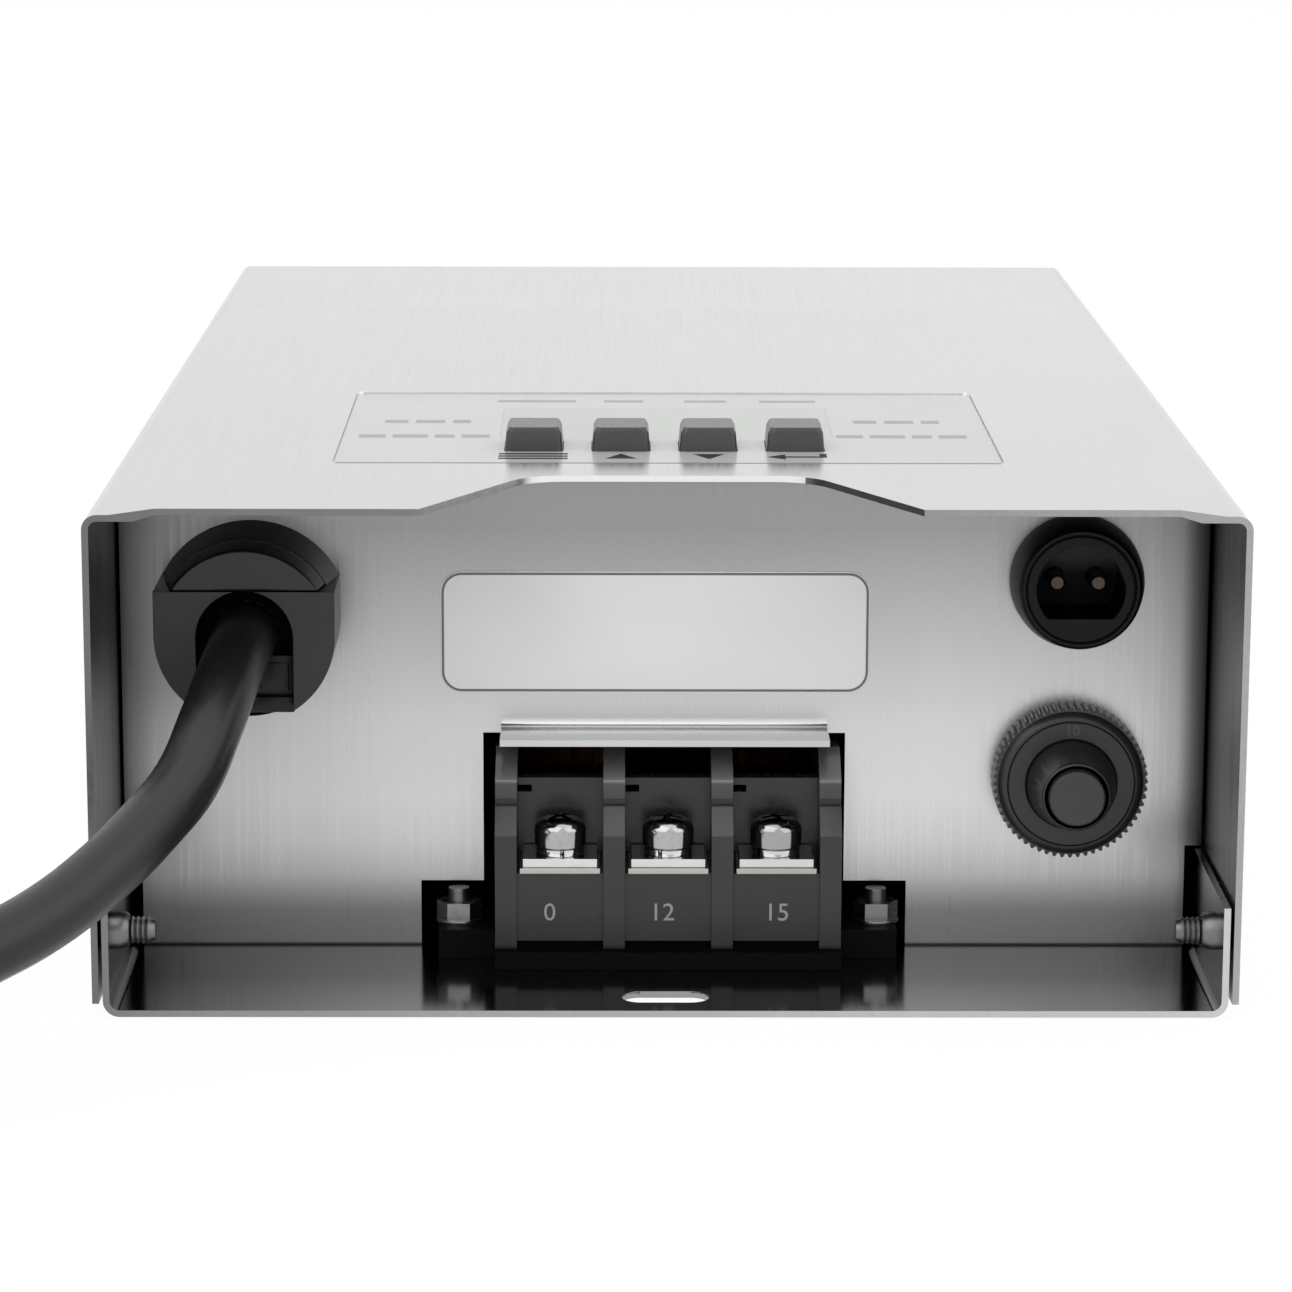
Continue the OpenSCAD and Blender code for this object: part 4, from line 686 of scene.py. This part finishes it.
def make_plug():
    """Moulded plug: ribbed sleeve, waisted body with finger flats, blades and ground pin."""
    bm = bmesh.new()
    profile = [(0, 0), (5.3, 0), (5.6, 0.4)]
    for k in range(SLEEVE_RIBS):
        y = 2.2 + SLEEVE_STEP * k
        r = 5.6 + 0.25 * k
        profile += [(r, y - 0.6), (r - 0.9, y - 0.3), (r - 0.9, y + 1.0), (r + 0.1, y + 1.3)]
    profile += [(6.9, 22), (8.6, 22.4), (9.6, 24), (11.4, 28), (13.2, 32), (14.1, 34.5), (PLUG_R, 38),
                (14.1, 44), (13.9, 49), (13.9, 50.2), (13.3, 50.5), (13.3, 51.6), (13.9, 51.9),
                (13.6, 54), (13.1, 55.6), (12.4, PLUG_LENGTH), (0, PLUG_LENGTH)]
    lathe(bm, profile, plug_start, (0, 1, 0), 64)
    first, last = FLAT_ENDS
    for vert in bm.verts:
        along = vert.co.y - plug_start.y
        off = vert.co.x - plug_start.x
        limit = PLUG_R - FLAT_DEPTH * max(0, min(1, (along - first) / 4, (last - along) / 4))
        if along > 26 and abs(off) > limit:
            vert.co.x = plug_start.x + math.copysign(limit, off)
    mesh = to_mesh(bm, "plug")
    plug = weighted(finish_piece("plug_body_piece", mesh, "plug", "housing", "plug_rubber", ("plug_body",)))
    bm = bmesh.new()
    face = plug_start.y + PLUG_LENGTH
    for side in (-1, 1):
        x = plug_start.x + side * BLADE_X
        z = plug_start.z + BLADE_UP
        rounded_box(bm, (x - 0.75, face - 0.5, z - 3.2), (x + 0.75, face + 17.5, z + 3.2), 0.35)
    pin = [(0, -0.5), (2.4, -0.5), (2.4, 17), (2.1, 18.6), (1.3, 19.6), (0, 20)]
    lathe(bm, pin, (plug_start.x, face, plug_start.z - PIN_DOWN), (0, 1, 0), 32)
    blades = finish_piece("plug_blades_piece", to_mesh(bm, "blades"), "brass", "housing", "plug_brass",
                          ("plug_blades",))
    return plug, blades


def make_tie():
    """Fabric strap round the turns."""
    high = COIL_R - STEP * BACK_TURNS + CORD_R + STRAP
    low = LOW_R - CORD_R - STRAP
    bottom = COIL_Z - CORD_R - STRAP
    top = COIL_Z + STEP + CORD_R + STRAP
    centre = Vector((COIL_C[0], COIL_C[1] + (high + low) / 2, (top + bottom) / 2))
    wide, tall = high - low, top - bottom
    thick = 0.55
    half = 2.9
    corner = 3
    inner = round_outline(wide, tall, corner, steps=8)
    outer = round_outline(wide + 2 * thick, tall + 2 * thick, corner + thick, steps=8)
    bm = bmesh.new()
    rings = []
    for points, x in ((inner, -half), (outer, -half), (outer, half), (inner, half)):
        rings.append([bm.verts.new(centre + Vector((x, y, z))) for y, z in points])
    close_rings(bm, rings)
    mesh = to_mesh(bm, "strap")
    return finish_piece("cord_tie_piece", mesh, "strap", "housing", "pad_rubber", ("cord_tie",))


plug_piece, blade_piece = make_plug()
tie_piece = make_tie()


# Stage and light, in metres and watts
GROUND_CORNERS = ((-3, -3), (3, -3), (3, 4), (-3, 4))
GROUND_Z = -0.0003
WORLD_LIGHT = 0.68         # on rough surfaces; mirrors and the camera see plain white


def make_stage():
    bm = bmesh.new()
    for x, y in GROUND_CORNERS:
        bm.verts.new((x, y, GROUND_Z))
    bm.faces.new(bm.verts)
    mesh = bpy.data.meshes.new("ground")
    bm.to_mesh(mesh)
    bm.free()
    mesh.materials.append(floor_material())
    linked("ground", mesh)


def make_world():
    world = bpy.data.worlds.new("studio")
    scene.world = world
    world.use_nodes = True
    tree = world.node_tree
    tree.nodes.clear()
    out = tree.nodes.new("ShaderNodeOutputWorld")
    ray = tree.nodes.new("ShaderNodeLightPath")
    mix = tree.nodes.new("ShaderNodeMixShader")
    plain = tree.nodes.new("ShaderNodeBackground")
    white = tree.nodes.new("ShaderNodeBackground")
    plain.inputs[0].default_value = (1, 1, 1, 1)
    plain.inputs[1].default_value = WORLD_LIGHT
    white.inputs[0].default_value = (1, 1, 1, 1)
    white.inputs[1].default_value = 1.0
    last = ray.outputs["Is Camera Ray"]
    for other in ("Is Glossy Ray", "Is Transmission Ray"):
        both = tree.nodes.new("ShaderNodeMath")
        both.operation = "MAXIMUM"
        tree.links.new(last, both.inputs[0])
        tree.links.new(ray.outputs[other], both.inputs[1])
        last = both.outputs[0]
    tree.links.new(last, mix.inputs[0])
    tree.links.new(plain.outputs[0], mix.inputs[1])
    tree.links.new(white.outputs[0], mix.inputs[2])
    tree.links.new(mix.outputs[0], out.inputs[0])


def lamp(name, place, size, watts):
    """Area lamp that points at the object."""
    data = bpy.data.lights.new(name, "AREA")
    data.shape = "RECTANGLE"
    data.size, data.size_y = size
    data.energy = watts
    light = linked(name, data)
    aim = Vector((0, 0, 0.03))
    light.location = place
    light.rotation_euler = (aim - Vector(place)).to_track_quat("-Z", "Y").to_euler()


make_stage()
make_world()
lamp("key", (-0.6, -0.9, 1.1), (1.3, 1.3), 5)
lamp("fill", (0.9, -0.7, 0.8), (1.1, 1.1), 2.4)
lamp("top", (0, 0.3, 1.4), (2.6, 2.2), 6)


# Picked faces: each function takes a face's place c and normal n and numbers its material in DRESSED
NOTCH_X = 0.5              # middle of the notch, and of the keypad
NOTCH_HALF = 33
NOTCH_DEEP = 26
TOP_UNDER = 66.5           # just under the cover's top sheet
POCKET_HALF = 46.6
POCKET_ENDS = (-93.3, -29.6)
POCKET_STEP = 67.9         # just under the pocket's rim
WALL_TOP = 66.8
WALL_INSIDE = 75.4         # half the width between the cover's side walls
END_INSIDE = 128.4
TRAY_RIM = 14.6            # just under the tray's upper rim
LIP_HALF = 23
RIBS = (-21.7, -6.9, 7.9, 22.7)
RIB_HALF = 1.7
FOOT_TOP = 5.3             # of the terminal block
FOOT_GROOVE = (3.3, 4.5)
FOOT_FRONT = -104.5
RELIEF_BORE = 6.9
RELIEF_MOUTH = -109.9
RELIEF_FLOOR = -106
SOCKET_BORE = 6.1


def cover_pick(c, n):
    """0 outside, 1 inside, in painted shade, 2 front edge, with painted light across it, 3 edges with a
    painted highlight, 4 edge of the notch in painted shade.
    """
    if n.y < -0.9 and c.y < FRONT + 0.1:
        return 2
    from_middle = abs(c.x - NOTCH_X)
    notch = c.z > TOP_UNDER and from_middle < NOTCH_HALF and FRONT + 0.1 < c.y < FRONT + NOTCH_DEEP
    if notch and abs(n.z) < 0.3:
        return 4 if n.x < -0.6 * abs(n.y) else 3
    pocket = from_middle < POCKET_HALF and POCKET_ENDS[0] < c.y < POCKET_ENDS[1]
    if pocket and c.z > POCKET_STEP and abs(n.z) < 0.5:
        return 3
    under = n.z < -0.3 and c.z > 60
    inside = abs(c.x) < WALL_INSIDE and FRONT + 0.2 < c.y < END_INSIDE
    wall = abs(n.z) < 0.6 and c.z < WALL_TOP and inside
    return 1 if under or wall else 0


def tray_pick(c, n):
    """0 sheet, 1 edges, a lighter copy with painted light across them."""
    return 1 if c.y < FRONT + 0.35 or (c.z > TRAY_RIM and abs(n.z) > 0.3) else 0


def panel_pick(c, n):
    """0 sheet, 1 lip over the terminals, 2 the lip's top, a lighter copy for painted light."""
    if c.y < PANEL - 0.2 and abs(c.x) < LIP_HALF:
        return 2 if n.z > 0.7 else 1
    return 0


def block_pick(c, n):
    """0 block, 1 foot, darker than the block, 2 groove in the foot, in deep shade, 3 front of the ribs, with
    painted light and shade.
    """
    if FOOT_GROOVE[0] < c.z < FOOT_GROOVE[1] and c.y < FOOT_FRONT:
        return 2
    if c.z < FOOT_TOP:
        return 1
    rib = min(abs(c.x - x) for x in RIBS) < RIB_HALF
    return 3 if rib and n.y < -0.2 else 0


def relief_pick(c, n):
    """0 outside, 1 inside of the cord's slot."""
    across, up = c.x - RELIEF[0], c.z - RELIEF[1]
    slot = math.hypot(across, up) < RELIEF_BORE or (abs(across) < 6.7 and c.z < 48)
    start = RELIEF_FLOOR if n.y < -0.9 else RELIEF_MOUTH
    return 1 if slot and c.y > start else 0


def socket_pick(c, n):
    """0 outside, 1 bore, with painted shade low in it and painted light higher up."""
    bore = math.hypot(c.x - SOCKET.x, c.z - SOCKET.z) < SOCKET_BORE
    return 1 if bore and -103.9 < c.y < -93 else 0


# Shapes made here
def make_socket_ring():
    """Flared ring round the socket's nose, with a groove inside it."""
    bm = bmesh.new()
    profile = [(7.0, -6.9), (9.2, -6.9), (9.1, -4.5), (8.45, -0.8), (8.25, -0.3), (7.95, 0.02), (7.6, 0.02),
               (7.4, -0.25), (7.0, -0.25)]
    closed_lathe(bm, profile, SOCKET, (0, -1, 0), 96)
    finish_piece("socket_ring", to_mesh(bm, "ring", 30), "ring", "housing", "black_plastic")


TEETH = 60
TIP_R = 10.65
ROOT_R = 10.15
NUT_BORE = 9.0
TOOTH_SPAN = (0.05, 4.3)   # distance of the teeth from the panel
MOUTH_R = 4.35


def make_breaker():
    """Breaker with a mouth round its button, and its toothed ring nut."""
    bm = bmesh.new()
    mouth = [(0, 8.6), (MOUTH_R, 8.6), (MOUTH_R, 12.6), (4.6, 13.4), (0, 13.4)]
    lathe(bm, mouth, BREAKER, (0, -1, 0), 64)
    mesh = cut_away(bevelled(cad_mesh("breaker_body"), 0.3, "breaker"), to_mesh(bm, "mouth"))

    def pick(c, n):
        if math.hypot(c.x - BREAKER.x, c.z - BREAKER.z) < 4.5 and c.y > -109.5:
            return 2
        return 1 if c.y < PANEL - 1 else 0

    face_materials(mesh, ("black", "nut", "deep"), pick)
    finish_piece("breaker_piece", mesh, "black", "housing", slot_of["breaker_body"], ("breaker_body",))
    bm = bmesh.new()
    rings = []
    start, end = TOOTH_SPAN
    points = 4 * TEETH
    for along, inner in ((start, False), (end, False), (end, True), (start, True)):
        ring = []
        for k in range(points):
            a = 2 * math.pi * k / points
            tooth_r = TIP_R if k % 4 < 2 else ROOT_R
            r = NUT_BORE if inner else tooth_r
            ring.append(bm.verts.new(BREAKER + Vector((r * math.cos(a), -along, r * math.sin(a)))))
        rings.append(ring)
    close_rings(bm, rings)
    face = [(6.15, 0.05), (10.05, 0.05), (10.05, 4.2), (9.9, 4.55), (9.25, 5.1), (9.0, 5.18), (8.85, 5.18),
            (8.72, 5.0), (8.58, 5.18), (6.4, 5.18), (6.15, 4.95)]
    closed_lathe(bm, face, BREAKER, (0, -1, 0), 96)
    mesh = to_mesh(bm, "nut", 30)
    finish_piece("breaker_nut_piece", mesh, "nut", "housing", slot_of["breaker_nut"], ("breaker_nut",))


THREAD_PITCH = 0.7


def threads(top, low, radius, depth):
    """Profile points of a thread from top down to low."""
    points = []
    place = top
    while place - THREAD_PITCH > low:
        points += [(radius - depth, place), (radius, place - THREAD_PITCH / 2)]
        place -= THREAD_PITCH
    return points + [(radius - depth, place)]


def cross_cutter(place, turn, length, width, depth):
    """Cross-shaped bar that reaches depth into a head whose face is at place."""
    far, near = length / 2, width / 2
    outline = [(near, near), (near, far), (-near, far), (-near, near), (-far, near), (-far, -near),
               (-near, -near), (-near, -far), (near, -far), (near, -near), (far, -near), (far, near)]
    bm = bmesh.new()
    upright(bm, outline, -depth, 3)
    bmesh.ops.transform(bm, matrix=Matrix.Translation(place) @ turn, verts=bm.verts)
    return to_mesh(bm, "cross")


WASHER_DOWN = 4.2          # foot of the split washer, under the CAD head's top
HEAD_DOWN = 3.2            # foot of the head
SCREW_HEAD_H = 4.2


def make_terminal_screw(number):
    """Screw with a round head and a cross recess, and its split washer."""
    node = f"terminal_screw_{number}"
    place = middle(node)
    top = high_corner(node).z
    low = low_corner(node).z
    washer = top - WASHER_DOWN
    head = top - HEAD_DOWN
    bm = bmesh.new()
    profile = [(0, 0), (1.6, 0)] + [(r, z - low) for r, z in reversed(threads(washer, low + 0.3, 1.95, 0.25))]
    base = head - low
    crown = base + SCREW_HEAD_H
    profile += [(1.9, base + 0.02), (3.3, base + 0.02), (3.5, base + 0.25), (3.55, crown - 1.9),
                (3.45, crown - 1.4), (3.15, crown - 0.95), (2.6, crown - 0.5), (1.8, crown - 0.2),
                (0.9, crown - 0.04), (0, crown)]
    lathe(bm, profile, (place.x, place.y, low), (0, 0, 1), 64)
    turn = Matrix.Rotation(math.radians(12 + 31 * number), 4, "Z")
    cutter = cross_cutter(Vector((place.x, place.y, low + crown)), turn, 4.0, 0.9, 1.5)
    mesh = cut_away(to_mesh(bm, "screw", 30), cutter)
    body = nodes[node]["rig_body"]
    slot = slot_of[node]
    finish_piece(node + "_piece", mesh, "screw", body, slot, (node,))
    bm = bmesh.new()
    ring = [(2.05, 0.04), (3.25, 0.04), (3.3, 0.12), (3.3, 0.9), (3.2, 1.0), (2.05, 1.0)]
    closed_lathe(bm, ring, (place.x, place.y, washer), (0, 0, 1), 48)
    gap = bmesh.new()
    upright(gap, box_outline(1.5, -0.3, 4, 0.3), -1, 2)
    turn = Matrix.Rotation(math.radians(-60 - 25 * number), 4, "Z")
    bmesh.ops.transform(gap, matrix=Matrix.Translation((place.x, place.y, washer)) @ turn, verts=gap.verts)
    mesh = cut_away(to_mesh(bm, "washer", 30), to_mesh(gap, "gap"))
    finish_piece(f"spring_washer_{number}", mesh, "bright", body, slot)


CASE_HEAD_R = 3.49


def make_cover_screws():
    """Countersunk screws through the cover's sides, and their collars."""
    face_x = high_corner("cover_screws").x
    collar_x = high_corner("cover_nuts").x
    bm = bmesh.new()
    collars = bmesh.new()
    cutters = []
    profile = [(0, -0.02), (3.3, -0.02), (3.48, -0.12), (1.9, -1.7)]
    profile += threads(-1.9, -7.9, 1.86, 0.3) + [(1.35, -8.1), (0, -8.15)]
    collar = [(1.95, 0), (2.6, 0), (2.6, 1.3), (2.35, 2.0), (2.1, 2.35), (1.95, 2.35)]
    y_front = low_corner("cover_screws").y + CASE_HEAD_R
    y_rear = high_corner("cover_screws").y - CASE_HEAD_R
    for side in (-1, 1):
        for y in (y_front, y_rear):
            z = middle("cover_screws").z
            lathe(bm, profile, (side * face_x, y, z), (side, 0, 0), 40)
            closed_lathe(collars, collar, (side * collar_x, y, z), (-side, 0, 0), 40)
            turn = Matrix.Rotation(side * math.pi / 2, 4, "Y") @ Matrix.Rotation(0.5, 4, "Z")
            cutters.append(cross_cutter(Vector((side * face_x, y, z)), turn, 3.6, 0.9, 1.2))
    mesh = to_mesh(bm, "case_screws", 30)
    for cutter in cutters:
        mesh = cut_away(mesh, cutter)
    finish_piece("cover_screws_piece", mesh, "dull", "housing", slot_of["cover_screws"], ("cover_screws",))
    finish_piece("cover_nuts_piece", to_mesh(collars, "collars", 30), "dull", "housing",
                 slot_of["cover_nuts"], ("cover_nuts",))


def make_relief_tongue():
    """Cord clamp's tongue, low in the relief's slot: foot, upright and raised pad."""
    bm = bmesh.new()
    rounded_box(bm, (-57.4, -107.2, 36.4), (-50.2, -104.85, 38.6), 0.3)
    rounded_box(bm, (-56.9, -106.4, 38.4), (-50.2, -104.85, 44.2), 0.3)
    rounded_box(bm, (-54.8, -106.7, 39.2), (-51.0, -106.3, 43.2), 0.15)
    finish_piece("relief_tongue", to_mesh(bm, "tongue"), "black", "housing", slot_of["relief_body"])


# Keypad, label and plain marks
FILM_TOP = high_corner("keypad_overlay").z
FIELD_TOP = 68.45          # raised field of the cover
MARK = 0.015               # height of print
ROW_HALF = 1.3
KEY_MARK_Y = -86.2
BLOCK_FACE = -107.5


def make_window():
    """Clear window flush with the film, and its flange under the cover."""
    centre = middle("display_window")
    top = high_corner("display_window").z
    low = low_corner("display_window").z
    bm = bmesh.new()
    corner = 0.9
    upright(bm, round_outline(47.36, 26.36, corner, (centre.x, centre.y)), low + 0.85, top)
    upright(bm, round_outline(49.4, 28.4, corner, (centre.x, centre.y)), low, low + 0.88)
    finish_piece("display_window_piece", to_mesh(bm, "window"), "window", "housing",
                 slot_of["display_window"], ("display_window",))


def flat_piece(name, outlines, material, slot, low, high):
    """One piece of flat shapes that lie between two heights."""
    bm = bmesh.new()
    for outline in outlines:
        upright(bm, outline, low, high)
    finish_piece(name, to_mesh(bm, name), material, "housing", slot)


def make_film_marks():
    """Painted shadow line in front of the film, rows of bars where it had print, and the keys' marks."""
    slot = slot_of["keypad_overlay"]
    low, high = low_corner("keypad_overlay"), high_corner("keypad_overlay")
    # Painted shadow: a dark strip along the pocket's front edge, in front of the film.
    front = box_outline(low.x + 0.3, low.y - 1.0, high.x - 0.3, low.y - 0.45)
    flat_piece("pocket_edge_painted_shadow", [front], "label_rim", slot, FIELD_TOP - 0.01, FIELD_TOP + MARK)
    rows = []
    for y, span, bars in ((-56.2, 12.5, (3.4, 4.2, 2.6)), (-69.2, 18.6, (3.8, 5.0, 2.8, 4.0))):
        for x in (-34.0, 34.0):
            place = x - span / 2
            for wide in bars:
                rows.append(box_outline(place, y - ROW_HALF, place + wide, y + ROW_HALF))
                place += wide + (span - sum(bars)) / (len(bars) - 1)
    for x0, x1 in ((-24.3, -12.7), (-8.5, -2.6), (3.5, 9.8), (14.7, 23.1)):
        rows.append(box_outline(x0, -38.0, x1, -36.2))
    flat_piece("faint_rows", rows, "mark_faint", slot, FILM_TOP - 0.01, FILM_TOP + MARK)
    keys = [middle(name) for name in ("menu_key", "up_key", "down_key", "enter_key")]
    y = KEY_MARK_Y
    x = keys[0].x
    marks = [box_outline(x - 4.8, y + lift, x + 4.8, y + lift + 1.1) for lift in (-2.4, -0.5, 1.4)]
    marks.append([(keys[1].x - 2.2, y - 1.9), (keys[1].x + 2.2, y - 1.9), (keys[1].x, y + 2.2)])
    marks.append([(keys[2].x - 2.2, y + 1.9), (keys[2].x, y - 2.2), (keys[2].x + 2.2, y + 1.9)])
    x = keys[3].x
    marks.append([(x - 4.2, y - 0.4), (x - 1.6, y + 1.7), (x - 1.6, y - 2.5)])
    marks.append(box_outline(x - 1.65, y - 0.9, x + 4.2, y + 0.1))
    marks.append(box_outline(x + 3.2, y + 0.05, x + 4.2, y + 2.2))
    flat_piece("key_marks", marks, "mark_dark", slot, FILM_TOP - 0.01, FILM_TOP + MARK)


def make_label_rim():
    """Thin border round the bare label."""
    low, high = low_corner("rating_label"), high_corner("rating_label")
    bm = bmesh.new()
    face = low.y - 0.012
    back = low.y + 0.01
    wide, tall = high.x - low.x, high.z - low.z
    centre = ((low.x + high.x) / 2, (low.z + high.z) / 2)
    outer = round_outline(wide - 0.3, tall - 0.3, 2.8, centre, 8)
    inner = round_outline(wide - 1.0, tall - 1.0, 2.45, centre, 8)
    rings = []
    for points, y in ((outer, back), (outer, face), (inner, face), (inner, back)):
        rings.append([bm.verts.new((x, y, z)) for x, z in points])
    close_rings(bm, rings)
    finish_piece("label_border", to_mesh(bm, "rim"), "label_rim", "housing", slot_of["rating_label"])


def make_numbers():
    """Plain figures on the terminal block, and figures on the breaker's nut painted lighter than it, a
    painted highlight on raised figures.
    """
    face_y = BLOCK_FACE - 0.01
    turn = Matrix.Rotation(math.pi / 2, 4, "X")
    for text, x in (("0", -15.7), ("12", -0.3), ("15", 15.4)):
        figures(text, 3.5, (x, face_y, 8.4), turn, "figure_" + text, "mark_light", slot_of["terminal_block"])
    figures("10", 2.1, (BREAKER.x, BREAKER.y - 5.185, BREAKER.z + 7.5), turn, "figure_rating", "mark_dim",
          slot_of["breaker_nut"])


make_socket_ring()
make_breaker()
for number in (1, 2, 3):
    make_terminal_screw(number)
make_cover_screws()
make_relief_tongue()
make_window()
make_film_marks()
make_label_rim()
make_numbers()

# Nodes whose own shape, with rounded edges, is the visible one: nodes, materials, edge, picked faces
DRESSED = (
    ("front_cover", ("cover", "cover_in", "cut", "cut_painted_highlight", "cut_painted_shade"), 0.18, cover_pick),
    ("base_tray", ("tray", "tray_edge_painted_light"), 0.14, tray_pick),
    ("terminal_panel", ("panel", "lip", "lip_top_painted_light"), 0.12, panel_pick),
    ("terminal_block", ("block", "block_base", "deep", "rib"), 0.22, block_pick),
    ("relief_body", ("relief", "deep"), 0.7, relief_pick),
    ("relief_cap", ("relief",), 0.8, None),
    ("sensor_socket", ("ring", "socket_in"), 0.3, socket_pick),
    ("rating_label", ("label",), 0.04, None),
    ("keypad_overlay", ("overlay",), 0.03, None),
    ("display_module", ("lcd",), 0.2, None),
    ("timer_board", ("board",), 0.08, None),
    ("board_standoffs", ("brass",), 0.1, None),
    ("board_screws", ("zinc",), 0.12, None),
    ("power_relay", ("relay",), 0.5, None),
    ("board_capacitor", ("cap",), 0.5, None),
    ("tact_switches", ("switch",), 0.2, None),
    ("menu_plunger up_plunger down_plunger enter_plunger", ("switch",), 0.15, None),
    ("contact_plates", ("tinned",), 0.1, None),
    ("block_studs", ("dull",), 0.2, None),
    ("block_nuts", ("zinc",), 0.25, None),
    ("clamp_plate_1 clamp_plate_2 clamp_plate_3", ("bright",), 0.2, None),
    ("breaker_tabs", ("tinned",), 0.1, None),
    ("socket_nut", ("black",), 0.4, None),
    ("socket_pins", ("pin",), 0.35, None),
    ("cord_tail", ("cord",), 0.1, None),
    ("toroid_core", ("core",), 0.6, None),
    ("toroid_winding", ("winding",), 3.5, None),
    ("toroid_pads", ("pad",), 0.4, None),
    ("toroid_plate", ("zinc",), 0.2, None),
    ("toroid_stud", ("zinc",), 0.4, None),
    ("toroid_nut", ("zinc",), 0.5, None),
    ("ground_stud", ("brass",), 0.2, None),
    ("ground_nut", ("brass",), 0.25, None),
    ("reset_button", ("button",), 0.35, None),
    ("menu_key up_key down_key enter_key", ("key",), 0.3, None),
    ("mains_leads", ("white_wire",), 0.05, None),
    ("secondary_leads breaker_leads", ("black_wire",), 0.05, None),
    ("sensor_leads", ("grey_wire",), 0.05, None),
)
for names, materials, width, pick in DRESSED:
    for node in names.split():
        dress(node, materials, width, pick)
